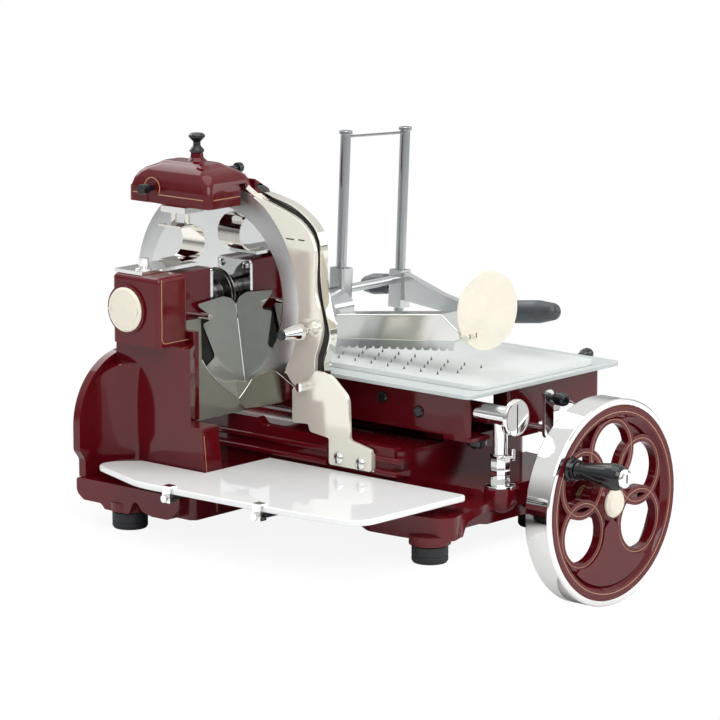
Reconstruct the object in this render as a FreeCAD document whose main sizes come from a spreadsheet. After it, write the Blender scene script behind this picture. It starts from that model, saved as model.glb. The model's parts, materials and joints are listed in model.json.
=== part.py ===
import FreeCAD, Part
import math, os, re
from FreeCAD import Placement, Rotation, Vector

# Flywheel meat slicer, in millimetres. Z = 0 is the counter top under the feet, Z is up.
# X = 0 is the cutting plane of the blade, the meat is on its +X side and the slices fall on
# its -X side. Y = 0 is the blade's axis, and the operator stands at -Y, beside the flywheel.
# The flywheel hangs past the counter's edge and below its top.

SIZES = {
    # blade and its drive
    "blade_axis_z": 286, "blade_radius": 150, "blade_flat_radius": 121, "blade_thick": 4,
    "spindle_radius": 12, "running_gap": 0.05,
    "wheel_x": 184, "wheel_front_y": -532, "wheel_z": 45, "petal_centre": 68, "petal_outer": 47,
    "petal_inner": 37, "crank_x": -90, "crank_z": 60,
    "shaft_radius": 12, "cross_radius": 8, "cross_y": -10, "gear_pitch": 26, "gear_small": 18,
    "chain_big": 16, "chain_small": 10.667, "chain_x": -136, "chain_wide": 6,
    # machine bed
    "deck_z": 116, "bed_low": 27, "toe_low": 30, "apron_z": 74, "bed_left": -20, "bed_right": 250,
    "bed_front": -335, "bed_back": 60, "apron_front": -444, "wall": 10,
    "foot_radius": 23.5, "foot_high": 27, "rail_radius": 6, "rail_z": 124,
    "rail_left_x": 90, "rail_right_x": 230,
    # column and spindle housing
    "column_left": -148, "column_wide": 32, "column_low": 60, "column_top": 240,
    "box_left": -173, "box_front": -57, "box_wide": 56, "box_deep": 85, "box_high": 92,
    "boss_half": 30, "boss_end": -46, "disc_radius": 29.5,
    # carriage, meat table and feed
    "carriage_left": 40, "carriage_wide": 275, "carriage_front": -404, "carriage_long": 354,
    "carriage_low": 135, "carriage_high": 58, "panel": 6,
    "plate_left": 12, "plate_wide": 318, "plate_front": -428, "plate_long": 385, "plate_thick": 6,
    "table_left": 43, "table_right": 289, "table_front": -418, "table_back": -60,
    "table_low": 199.3, "table_thick": 6, "roller_x": 64, "roller_y": -398,
    "feed_x": 167, "feed_z": 132, "feed_pitch": 8, "feed_arm": 43,
    "spike_step": 28.6, "spike_row": 24, "spike_high": 5,
    # meat press
    "post_radius": 7, "post_left_x": 142, "post_right_x": 265, "post_y": -90, "post_long": 291,
    "lean": 3, "grip_rise": 6.9, "disc_turn": 8, "press_disc": 52.5,
    # sharpener
    "cap_left": -72, "cap_wide": 94, "cap_front": -52, "cap_long": 149, "cap_low": 410,
    "cap_skirt": 20, "cap_wall": 3,
    # tray, gauge plate and regulator
    "tray_low": 73, "tray_thick": 8, "gauge_left": -23, "gauge_thick": 23, "sheet": 1.5,
    "lock_y": -180, "lock_z": 259, "regulator_x": 61, "regulator_y": -440, "head_z": 168,
    "head_radius": 13.5, "dial_radius": 24.6,
}

doc = FreeCAD.newDocument("meat_slicer")
sheet = doc.addObject("Spreadsheet::Sheet", "Sizes")
for row, (alias, value) in enumerate(SIZES.items(), 1):
    sheet.set(f"A{row}", alias)
    sheet.set(f"B{row}", str(value))
    sheet.setAlias(f"B{row}", alias)
doc.recompute()


class Sizes:
    pass


s = Sizes()
for alias, value in SIZES.items():
    setattr(s, alias, value)

TURNS = {"z": Rotation(), "-z": Rotation(Vector(1, 0, 0), 180),
         "x": Rotation(Vector(0, 1, 0), 90), "-x": Rotation(Vector(0, 1, 0), -90),
         "y": Rotation(Vector(1, 0, 0), -90), "-y": Rotation(Vector(1, 0, 0), 90),
         "lean": Rotation(Vector(0, 1, 0), s.lean),
         "raised": Rotation(Vector(1, 0, 0), 90 - s.grip_rise),
         "lowered": Rotation(Vector(1, 0, 0), -90 - s.grip_rise),
         "faced": Rotation(Vector(0, 0, 1), -s.disc_turn) * Rotation(Vector(1, 0, 0), 90)}
nodes = []


def formula(text):
    return re.sub(r"[a-z]\w*", lambda word: "Sizes." + word.group(), str(text))


def bind(thing, **rules):
    for prop, text in rules.items():
        thing.setExpression(prop, formula(text))


def place(thing, at, along="z"):
    thing.Placement = Placement(Vector(), TURNS[along])
    for axis, text in zip("xyz", at):
        thing.setExpression("Placement.Base." + axis, formula(text))
    return thing


def solid(kind, at, along, **rules):
    thing = doc.addObject("Part::" + kind, kind)
    bind(thing, **rules)
    return place(thing, at, along)


def rod(at, along, radius, long):
    return solid("Cylinder", at, along, Radius=radius, Height=long)


def taper(at, along, radius_1, radius_2, long):
    return solid("Cone", at, along, Radius1=radius_1, Radius2=radius_2, Height=long)


def block(at, x, y, z, along="z"):
    return solid("Box", at, along, Length=x, Width=y, Height=z)


def fuse(*things):
    if len(things) == 1:
        return things[0]
    thing = doc.addObject("Part::MultiFuse", "Fuse")
    thing.Shapes = list(things)
    return thing


def cut(base, *tools):
    thing = doc.addObject("Part::Cut", "Cut")
    thing.Base, thing.Tool = base, fuse(*tools)
    return thing


def common(first, second):
    thing = doc.addObject("Part::Common", "Common")
    thing.Base, thing.Tool = first, second
    return thing


def group(*things):
    thing = doc.addObject("Part::Compound", "Group")
    thing.Links = list(things)
    return thing


def soften(thing, radius, pick=lambda edge: True):
    doc.recompute()
    fillet = doc.addObject("Part::Fillet", "Fillet")
    fillet.Base = thing
    edges = enumerate(thing.Shape.Edges, 1)
    fillet.Edges = [(number, radius, radius) for number, edge in edges if pick(edge)]
    return fillet


def upright(edge):
    ends = [vertex.Point for vertex in edge.Vertexes]
    return len(ends) == 2 and abs(ends[0].z - ends[1].z) > 1 and \
        math.hypot(ends[0].x - ends[1].x, ends[0].y - ends[1].y) < 0.01


def node(label, thing):
    thing.Label = label
    nodes.append(thing)
    return thing


# A closed outline of straight runs whose corners may carry a radius: (u, v) or (u, v, radius)
def outline(sketch, corners):
    points = [Vector(corner[0], corner[1], 0) for corner in corners]
    radii = [corner[2] if len(corner) > 2 else 0 for corner in corners]
    starts, ends, arcs = [], [], []
    for i, corner in enumerate(points):
        before = (points[i - 1] - corner).normalize()
        after = (points[(i + 1) % len(points)] - corner).normalize()
        half = before.getAngle(after) / 2
        back = radii[i] / math.tan(half) if radii[i] else 0
        ends.append(corner + before * back)
        starts.append(corner + after * back)
        middle = (before + after).normalize() if radii[i] else Vector()
        arcs.append(corner + middle * (radii[i] / math.sin(half) - radii[i]))
    for i in range(len(points)):
        if radii[i]:
            sketch.addGeometry(Part.Arc(ends[i], arcs[i], starts[i]))
        sketch.addGeometry(Part.LineSegment(starts[i], ends[(i + 1) % len(points)]))


def sketched(plane, loops):
    body = doc.addObject("PartDesign::Body", "Body")
    sketch = body.newObject("Sketcher::SketchObject", "Outline")
    face = [item for item in body.Origin.OriginFeatures if item.Role == plane + "_Plane"][0]
    sketch.AttachmentSupport, sketch.MapMode = (face, [""]), "FlatFace"
    for loop in loops:
        if len(loop) == 1:
            u, v, radius = loop[0]
            sketch.addGeometry(Part.Circle(Vector(u, v, 0), Vector(0, 0, 1), radius))
        else:
            outline(sketch, loop)
    return body, sketch


# A plate cut to an outline in the XY, XZ or YZ plane; it starts at `start` on the third axis
def plate(plane, start, thick, *loops):
    body, sketch = sketched(plane, loops)
    pad = body.newObject("PartDesign::Pad", "Pad")
    pad.Profile, pad.Reversed = sketch, plane == "XZ"
    bind(pad, Length=thick)
    at = {"XY": (0, 0, start), "XZ": (0, start, 0), "YZ": (start, 0, 0)}[plane]
    return place(body, at)


# A turned piece: (radius, height) corners about its own axis
def turned(at, along, *corners):
    body, sketch = sketched("XZ", [corners])
    spun = body.newObject("PartDesign::Revolution", "Revolution")
    spun.Profile, spun.ReferenceAxis, spun.Angle = sketch, (sketch, ["V_Axis"]), 360
    return place(body, at, along)


# A frustum of four sloping sides that narrows upwards from one rectangle to another
def hipped(low_z, high, base, top):
    (x0, y0, x1, y1), (u0, v0, u1, v1) = base, top
    thing = doc.addObject("Part::Wedge", "Wedge")
    thing.Xmin, thing.Xmax, thing.Zmin, thing.Zmax = x0, x1, -y1, -y0
    thing.X2min, thing.X2max, thing.Z2min, thing.Z2max = u0, u1, -v1, -v0
    thing.Ymin = 0
    bind(thing, Ymax=high)
    return place(thing, (0, 0, low_z), "-y")


def frozen(label, shape):
    thing = doc.addObject("Part::Feature", label)
    thing.Shape = shape
    return thing


def bed():
    block_outline = [(-20, -335, 18), (250, -335, 20), (250, 60, 20), (-20, 60, 12)]
    body = plate("XY", "bed_low", "deck_z - bed_low", block_outline)
    apron = plate("XY", "bed_low", "apron_z - bed_low",
                  [(30, -330), (30, -420, 14), (50, -446, 10), (238, -444, 18), (250, -330)])
    toe = plate("XY", "toe_low", 30, [(-66, -300, 8), (-98, -352, 20), (-95, -406, 40),
                                      (-86, -461, 12), (-68, -472, 10), (-50, -466, 8),
                                      (50, -446), (60, -320), (0, -300)])
    arch = plate("XZ", -480, 45, [(-44, 20), (-44, 27), (-32, 46, 14), (0, 50, 30), (90, 47, 30),
                                  (152, 38), (152, 20)])
    flange = plate("XY", "bed_low", "column_low - bed_low",
                   [(-194, 57), (-196, -132, 5), (-190, -139, 5), (-10, -136), (-10, 57)])
    skirt = plate("YZ", -214, 21, [(57, 60, 4), (57, 40, 12), (44, 31, 8), (12, 31, 8), (5, 24, 3),
                                   (-39, 24, 3), (-50, 46, 6), (-64, 31, 10), (-80, 27, 20),
                                   (-112, 27, 16), (-131, 44, 12), (-131, 60, 3)])
    rail = plate("YZ", "bed_left", 15, [(-330, 100), (58, 100), (58, 121, 4), (-20, 121, 8),
                                        (-30, 130, 6), (-88, 130, 6), (-98, 121, 8),
                                        (-330, 121, 4)])
    boss = block(("regulator_x - 20", "regulator_y", 50), 40, 30, "apron_z - 50")
    arm = rod(("wheel_x", -480, "wheel_z"), "y", 28, 150)
    web = block(("wheel_x - 22", -76, "bed_low"), 44, 18, 80)
    pads = [rod((x, y, 24), "z", 27, 12) for x, y in FEET]
    mouldings = [plate("XZ", -340, 397, [(0, z), (reach, z, 3), (reach, z + 8, 3), (0, z + 8)])
                 for z, reach in ((84, -28), (101, -25))]
    cup = turned(("regulator_x", "regulator_y", 40), "z", (0, 0), (10, 1), (18, 6), (23, 14),
                 (24, 22), (24, 34), (0, 34))
    solid_bed = cut(fuse(body, apron, toe, flange, skirt, rail, boss, arm, *mouldings, *pads), arch,
                    block((-32, -302, 83), 12, 84, 30))
    hollow = block(("bed_left + wall", "bed_front + wall", 0),
                   "bed_right - bed_left - 2*wall", "bed_back - bed_front - 2*wall", "deck_z - wall")
    under = block((52, "apron_front + wall", 0), 186, 90, "apron_z - 8")
    tunnel = block((-116, -30, 0), 110, 40, 57)
    well = block(("column_left + 5", -40, 0), 22, 66, 61)
    shell = cut(solid_bed, hollow, under, tunnel, well)
    posts = [turned((x, y, 24), "z", (0, 0), (27, 0), (27, 8), (19, 14), (19, high), (0, high))
             for (x, y), high in ((FEET[2], 44), (FEET[3], 84))]
    walls = fuse(shell, web, cup, *posts, common(rod(("wheel_x", -480, "wheel_z"), "y", 28, 150),
                                    block((100, -480, 0), 160, 36, 90)))
    bores = [rod(("wheel_x", -500, "wheel_z"), "y", 16, 450),
             rod((-30, "cross_y", "wheel_z"), "x", 12, 22),
             rod((-122, "cross_y", "wheel_z"), "x", 12, 7)]
    bores += [rod((x, y, 0), "z", "foot_radius + 1", 24) for x, y in FEET]
    brackets = [block((x + " - 9", y, "deck_z"), 18, 8, 16)
                for x in ("rail_left_x", "rail_right_x") for y in (-334, 51)]
    rails = [rod((x, -340, "rail_z"), "y", "rail_radius", 420)
             for x in ("rail_left_x", "rail_right_x")]
    node("base_casting", cut(fuse(walls, *brackets), *bores, *rails))


FEET = [(-76, -438), (-190, -18), (170, -412), (210, 26)]


def feet():
    feet = [turned((x, y, 0), "z", (0, 0), (21.5, 0), (23.5, 3), (23.5, 22), (19, 24), (0, 24))
            for x, y in FEET]
    node("rubber_feet", group(*feet))
    rails = [rod((x, -334, "rail_z"), "y", "rail_radius", 393)
             for x in ("rail_left_x", "rail_right_x")]
    node("carriage_rails", group(*rails))


def column():
    tower = plate("YZ", "column_left", "column_wide",
                  [(-116, 60), (-99, 240), (45, 240), (57, 60)])
    fin = plate("XZ", 45, 12, [(-124, 60), (-124, 223), (-219, 223, 95), (-219, 97, 8),
                               (-209, 84, 8), (-209, 60)])
    inside = plate("XZ", 0, 46, [(-124, 60), (-124, 213), (-209, 213, 85), (-209, 60)])
    corner = cut(block(("column_left - 44", 1, "column_low"), 45, 45, 170),
                 rod(("column_left - 44", 1, "column_low"), "z", 44, 170))
    corner = common(corner, inside)
    well = block(("column_left + 5", -40, 50), 22, 66, 200)
    bore = rod(("column_left + 20", "cross_y", "wheel_z"), "x", 12, 20)
    relief = plate("XY", 137, 104, [(-152, -92), (-114, -67), (-114, -130), (-152, -130)])
    node("column_casting", cut(fuse(tower, fin, corner), well, bore, relief))


def bracket_bolts():
    bolts = [turned((-29, y, z), "-x", (0, 0), (8, 0), (8, 2), (5, 5), (0, 6))
             for y, z in ((-242, 98), (-280, 96))]
    return bolts + [rod((-29, -184, 186), "-x", 6, 14)]


def housing():
    box = soften(block(("box_left", "box_front", "column_top"), "box_wide", "box_deep", "box_high"),
                 7, lambda edge: upright(edge) or edge.BoundBox.ZMin > 300)
    boss = block(("box_left + box_wide - 6", "-boss_half", 246),
                 "boss_end - box_left - box_wide + 6", "2*boss_half", 82)
    ring = rod(("box_left - 3", 0, "blade_axis_z"), "x", 33, 30)
    well = block(("column_left + 5", -26, 230), 22, 52, 80)
    bore = rod(("column_left + 6", 0, "blade_axis_z"), "x", 18, 110)
    node("bearing_housing", cut(fuse(box, boss, ring), well, bore))
    node("housing_cover", turned(("box_left - 3", 0, "blade_axis_z"), "-x", (0, 0),
                                 (s.disc_radius, 0), (s.disc_radius, 2), (27, 4), (0, 5.5)))
    flange = cut(soften(block(("boss_end", "-boss_half", 252), 5, "2*boss_half", 76), 5,
                        lambda edge: edge.BoundBox.XLength > 4),
                 rod(("boss_end - 1", 0, "blade_axis_z"), "x", 17.5, 10))
    node("bearing_flange", flange)
    screws = [rod(("box_left - 7.3", y, "blade_axis_z"), "-x", 2.2, 1.6) for y in (-24.5, 24.5)]
    screws += [turned(("boss_end + 5", y, z), "x", (0, 0), (5, 0), (5, 2), (3, 3.5), (0, 3.5))
               for y, z in ((-22, 320), (22, 320), (-22, 260), (22, 260))]
    screws.append(rod((-80, "-boss_half", 270), "-y", 4, 32))
    screws += bracket_bolts()
    node("machine_screws", group(*screws))
    bearings = [cut(rod((x, 0, "blade_axis_z"), "x", 18, 14),
                    rod((x, 0, "blade_axis_z"), "x", "spindle_radius + running_gap", 14))
                for x in (-119, -62)]
    node("spindle_bearings", group(*bearings))


def ring(at, along, outer, inner, long):
    return cut(rod(at, along, outer, long), rod(at, along, inner, long))


def drive_bushes():
    bushes = [ring(("wheel_x", y, "wheel_z"), "y", 16, "shaft_radius + running_gap", 18)
              for y in (-480, -76)]
    bushes += [ring((x, "cross_y", "wheel_z"), "x", 12, "cross_radius + running_gap", long)
               for x, long in ((-20, 10), (-121, 5))]
    node("drive_bushes", group(*bushes))


def blade():
    flat, thick, radius = s.blade_flat_radius, s.blade_thick, s.blade_radius
    node("blade", turned((-5, 0, "blade_axis_z"), "x", (10, 0), (flat, 0), (138, 1.6),
                         (radius, 4.6), (radius, 5), (135, thick), (10, thick)))
    node("blade_spindle", turned((-143, 0, "blade_axis_z"), "x", (0, 0), (8, 0), (8, 20), (12, 20),
                                 (12, 97), (14, 102), (14, 106), (17, 106), (17, 109), (14, 109),
                                 (14, 116), (17, 116), (17, 119), (14, 119), (14, 132), (34, 134),
                                 (34, 138), (10, 138), (10, 142), (18, 142), (16, 149), (0, 150)))


# Chain wheel: round teeth gaps at the chain's pitch, cut into a disc
def sprocket(label, radius, teeth, bore, x, y, z):
    disc = Part.makeCylinder(radius + 1.6, s.chain_wide, Vector(), Vector(1, 0, 0))
    for i in range(teeth):
        turn = 2 * math.pi * i / teeth
        gap = Part.makeCylinder(2.3, s.chain_wide, Vector(0, radius * math.cos(turn) * 1.1,
                                                          radius * math.sin(turn) * 1.1),
                                Vector(1, 0, 0))
        disc = disc.cut(gap)
    hub = Part.makeCylinder(bore, s.chain_wide, Vector(), Vector(1, 0, 0))
    thing = frozen(label, disc.cut(hub))
    thing.Placement = Placement(Vector(x, y, z), Rotation())
    node(label, thing)


def belt_loop(big, small, long):
    lean = math.asin((big - small) / long)
    low = [Vector(0, big * math.cos(lean) * side, big * math.sin(lean)) for side in (1, -1)]
    top = [Vector(0, small * math.cos(lean) * side, long + small * math.sin(lean))
           for side in (1, -1)]
    wire = Part.Wire([Part.Arc(low[0], Vector(0, 0, -big), low[1]).toShape(),
                      Part.LineSegment(low[1], top[1]).toShape(),
                      Part.Arc(top[1], Vector(0, 0, long + small), top[0]).toShape(),
                      Part.LineSegment(top[0], low[0]).toShape()])
    return Part.Face(wire).extrude(Vector(s.chain_wide, 0, 0))


def chain():
    rise, run = s.blade_axis_z - s.wheel_z, -s.cross_y
    long = math.hypot(rise, run)
    band = belt_loop(s.chain_big + 6, s.chain_small + 6, long)
    band = band.cut(belt_loop(s.chain_big + 2.1, s.chain_small + 2.1, long))
    thing = frozen("drive_chain", band)
    thing.Placement = Placement(Vector(s.chain_x, s.cross_y, s.wheel_z),
                                Rotation(Vector(1, 0, 0), -math.degrees(math.atan2(run, rise))))
    node("drive_chain", thing)
    sprocket("drive_sprocket", s.chain_big, 12, s.cross_radius, s.chain_x, s.cross_y, s.wheel_z)
    sprocket("blade_sprocket", s.chain_small, 8, 8, s.chain_x, 0, s.blade_axis_z)


# Bevel gear of sixteen teeth about +Z with its apex at the origin and its back at -Z
def bevel(turn):
    big, small, teeth = s.gear_pitch, s.gear_small, 16
    gear = Part.makeCone(0.88 * big, 0.88 * small, 1.12 * (big - small), Vector(0, 0, -1.12 * big))
    gear = gear.fuse(Part.makeCylinder(16, 8, Vector(0, 0, -1.12 * big - 8)))
    for i in range(teeth):
        rings = []
        for pitch in (big, small):
            corners = []
            for rise, half in ((-0.14, 0.105), (0.1, 0.052)):
                for side in (-1, 1) if rise < 0 else (1, -1):
                    angle = 2 * math.pi * (i + turn) / teeth + side * half
                    radius = pitch * (1 + rise)
                    corners.append(Vector(radius * math.cos(angle), radius * math.sin(angle),
                                          -pitch * (1 - rise)))
            rings.append(corners)
        faces = [Part.Face(Part.makePolygon(ring + ring[:1])) for ring in rings]
        for k in range(4):
            a, b = rings[0][k], rings[0][(k + 1) % 4]
            c, d = rings[1][(k + 1) % 4], rings[1][k]
            faces += [Part.Face(Part.makePolygon([a, b, c, a])),
                      Part.Face(Part.makePolygon([a, c, d, a]))]
        tooth = Part.makeSolid(Part.makeShell(faces))
        if tooth.Volume < 0:
            tooth.reverse()
        gear = gear.fuse(tooth)
    return gear


def drive():
    apex = Vector(s.wheel_x, s.cross_y, s.wheel_z)
    shaft = Part.makeCylinder(s.shaft_radius, 60, Vector(0, 0, -60))
    first = frozen("drive_bevel_gear", bevel(0).cut(shaft))
    first.Placement = Placement(apex, TURNS["y"])
    node("drive_bevel_gear", first)
    thin = Part.makeCylinder(s.cross_radius, 60, Vector(0, 0, -60))
    second = frozen("driven_bevel_gear", bevel(0.5).cut(thin))
    second.Placement = Placement(apex, TURNS["x"])
    node("driven_bevel_gear", second)
    node("cross_shaft", rod((-142, "cross_y", "wheel_z"), "x", "cross_radius", 302))
    node("flywheel_shaft", turned(("wheel_x", "wheel_front_y + 2", "wheel_z"), "y", (0, 0),
                                  (11, 0), (12, 1), (12, 500), (0, 500)))


# A point of the wheel's pattern, on the petals' circle
def petal_at(angle, depth):
    x = s.petal_centre * math.cos(math.radians(angle))
    z = s.petal_centre * math.sin(math.radians(angle))
    return f"wheel_x + {x:.3f}", f"wheel_front_y + {depth}", f"wheel_z + {z:.3f}"


# Five overlapping rings round the hub leave the windows and, where they cross, narrow eyes.
# The sixth place, at the bottom, is a plain panel.
def flywheel():
    at = ("wheel_x", "wheel_front_y", "wheel_z")
    node("flywheel_rim", turned(at, "y", (129, 1), (135, 1), (137, 3), (137, 38), (135, 40),
                                (129, 40)))
    felloe = turned(at, "y", (106, 13), (108, 8), (112, 6), (116, 1), (127, 0), (129, 1),
                    (129, 30), (118, 30), (112, 18), (106, 18))
    hub = turned(at, "y", (12, 2), (22, 2), (24, 4), (26, 8), (26, 18), (24, 38), (12, 38))
    angles = (-30, 30, 90, 150, 210)
    floor = cut(turned(at, "y", (12, 13), (110, 13), (110, 18), (12, 18)),
                *[rod(petal_at(angle, 5), "y", "petal_inner", 20) for angle in angles])
    rings = fuse(*[ring(petal_at(angle, 6), "y", "petal_outer", "petal_inner", 12)
                   for angle in angles])
    rings = common(rings, turned(at, "y", (24, 5), (110, 5), (110, 19), (24, 19)))
    panel = plate("XZ", s.wheel_front_y + 4, 14,
                  [(s.wheel_x, s.wheel_z - 20), (s.wheel_x - 104, s.wheel_z - 110),
                   (s.wheel_x + 104, s.wheel_z - 110)])
    panel = cut(common(panel, rod(("wheel_x", "wheel_front_y", "wheel_z"), "y", 110, 20)),
                *[rod(petal_at(angle, 0), "y", 44, 20) for angle in (-30, 210)])
    boss = rod(("wheel_x + crank_x", "wheel_front_y + 7", "wheel_z + crank_z"), "y", 17, 11)
    seat = rod(("wheel_x + crank_x", "wheel_front_y + 8", "wheel_z + crank_z"), "-y", 17, 12)
    node("flywheel_web", cut(fuse(felloe, hub, floor, rings, panel, boss), seat))
    node("hub_cap", turned(("wheel_x", "wheel_front_y + 2", "wheel_z"), "-y", (0, 0), (19, 0),
                           (19, 3), (14, 7), (0, 9)))
    at = ("wheel_x + crank_x", "wheel_front_y + 8", "wheel_z + crank_z")
    node("crank_pin", turned(at, "-y", (0, 0), (16, 0), (16, 9), (14, 12), (14, 18), (6, 18),
                             (6, 92), (0, 92)))
    bore = 6.05
    grip = turned(at, "-y", (bore, 18.4), (13, 18.4), (11.5, 23), (11.5, 30), (17, 70), (17.5, 80),
                  (15, 88), (12.5, 91.9), (bore, 91.9))
    node("crank_grip", grip)
    node("grip_cap", turned(at, "-y", (0, 92.2), (12.5, 92.2), (12, 95), (9, 97), (0, 97)))


def carriage():
    tub = soften(block(("carriage_left", "carriage_front", "carriage_low"), "carriage_wide",
                       "carriage_long", "carriage_high"), 8, upright)
    hollow = block(("carriage_left + panel", "carriage_front + panel", 100),
                   "carriage_wide - 2*panel", "carriage_long - 2*panel", 87)
    mouth = block(("carriage_left + panel", "carriage_front - 5", 100), 72, 20, 87)
    arch = rod((236, -420, 108), "y", 48, 25)
    notch = block(("feed_x - 18", -420, 120), 36, 24, 31)
    slot = block(("feed_x - 8", -392, 180), 76, 10, 16)
    shoes = [block((f"{x} - 13", y, 117), 26, 25, 72)
             for x in ("rail_left_x", "rail_right_x") for y in (-325, -235)]
    rails = [rod((x, -340, "rail_z"), "y", "rail_radius + running_gap", 200)
             for x in ("rail_left_x", "rail_right_x")]
    bearing = block(("feed_x - 18", "carriage_front", 121), 36, 10, 70)
    bore = rod(("feed_x", -420, "feed_z"), "y", "5 + running_gap", 30)
    lug = block(("carriage_left", "carriage_front - 4", "carriage_low - 5"), 39, 46, 5)
    pin = rod(("roller_x", "roller_y", 128), "z", "3 + running_gap", 10)
    body = fuse(cut(tub, hollow, mouth, arch, notch), *shoes, bearing, lug)
    node("carriage_body", cut(body, *rails, bore, slot, pin))
    plate_slot = block(("feed_x - 8", -392, 180), 76, 10, 20)
    top = soften(block(("plate_left", "plate_front", "carriage_low + carriage_high"), "plate_wide",
                       "plate_long", "plate_thick"), 10, upright)
    node("table_plate", cut(top, plate_slot))
    node("carriage_plugs", group(*[turned(("carriage_left", y, z), "-x", (0, 0), (8, 0), (8, 1.5),
                                          (6, 3), (0, 3)) for y, z in ((-258, 171), (-320, 160))]))
    node("table_knob", turned(("plate_left + plate_wide", -356, 196), "x", (0, 0), (4, 0), (4, 6),
                              (8, 10), (9, 18), (7, 24), (0, 25)))
    node("guide_roller", turned(("roller_x", "roller_y", 135), "-z", (0, 0), (3, 0), (3, 5.4),
                                (13, 5.4), (13, 12.5), (8, 12.5), (8, 16.5), (0, 16.5)))


def spikes():
    rows = []
    for i in range(4):
        count = 8 if i % 2 else 7
        for k in range(count):
            y = s.table_front + 60 + (k - (0.5 if i % 2 else 0)) * s.spike_step + 30
            rows.append(Part.makeCone(1.6, 0.3, s.spike_high, Vector(s.table_left + 25 + i *
                                                                     s.spike_row, y,
                                                                     s.table_low + s.table_thick)))
    return rows


def meat_table():
    left, right, front, back = s.table_left, s.table_right, s.table_front, s.table_back
    top = plate("XY", "table_low", "table_thick",
                [(left, front, 16), (right, front, 16), (right, back, 10), (left, back, 10)])
    teeth = frozen("spikes", Part.makeCompound(spikes()))
    node("meat_table", fuse(top, teeth))
    bar = Part.makeBox(92, 8, 8, Vector(s.feed_x - 12, -391, s.feed_z + s.feed_pitch + 1.2))
    bar = bar.fuse(Part.makeBox(8, 8, s.table_low - 145.3, Vector(s.feed_x - 2, -391, 145.3)))
    step = 2 * math.pi * s.feed_pitch / 16
    for i in range(-4, 25):
        x = s.feed_x + (i + 0.5) * step
        if s.feed_x - 12 < x - 1 and x + 1 < s.feed_x + 80:
            z = s.feed_z + s.feed_pitch + 1.4
            profile = Part.makePolygon([Vector(x - 0.95, -391, z), Vector(x + 0.95, -391, z),
                                        Vector(x + 0.4, -391, z - 2.1), Vector(x - 0.4, -391, z - 2.1),
                                        Vector(x - 0.95, -391, z)])
            bar = bar.fuse(Part.Face(profile).extrude(Vector(0, 8, 0)))
    node("table_rack", frozen("table_rack", bar))


def feed_crank():
    shaft = rod(("feed_x", -436, "feed_z"), "y", 5, 55)
    left, right = s.feed_x - 9, s.feed_x + 9
    bar = plate("XZ", -436, 5, [(left, 121, 7), (right, 121, 7), (right, 185, 7), (left, 185, 7)])
    pinion = Part.makeCylinder(s.feed_pitch - 1.1, 10, Vector(), Vector(0, 1, 0))
    for i in range(16):
        wedge = Part.makePolygon([Vector(-1.0, 0, 6.5), Vector(1.0, 0, 6.5), Vector(0.35, 0, 9),
                                  Vector(-0.35, 0, 9), Vector(-1.0, 0, 6.5)])
        tooth = Part.Face(wedge).extrude(Vector(0, 10, 0))
        tooth.rotate(Vector(), Vector(0, 1, 0), i * 22.5)
        pinion = pinion.fuse(tooth)
    pinion = frozen("pinion", pinion)
    pinion.Placement = Placement(Vector(s.feed_x, -392, s.feed_z), Rotation())
    node("feed_crank", fuse(shaft, bar, pinion))
    node("feed_knob", turned(("feed_x", -436, "feed_z + feed_arm"), "-y", (0, 0), (6, 0), (5, 4),
                             (9, 14), (9, 24), (7, 29), (0, 30)))


def lean_at(x, rise):
    turn = math.radians(s.lean)
    floor = s.table_low + s.table_thick
    return x + rise * math.sin(turn), s.post_y, floor + rise * math.cos(turn)


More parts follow.
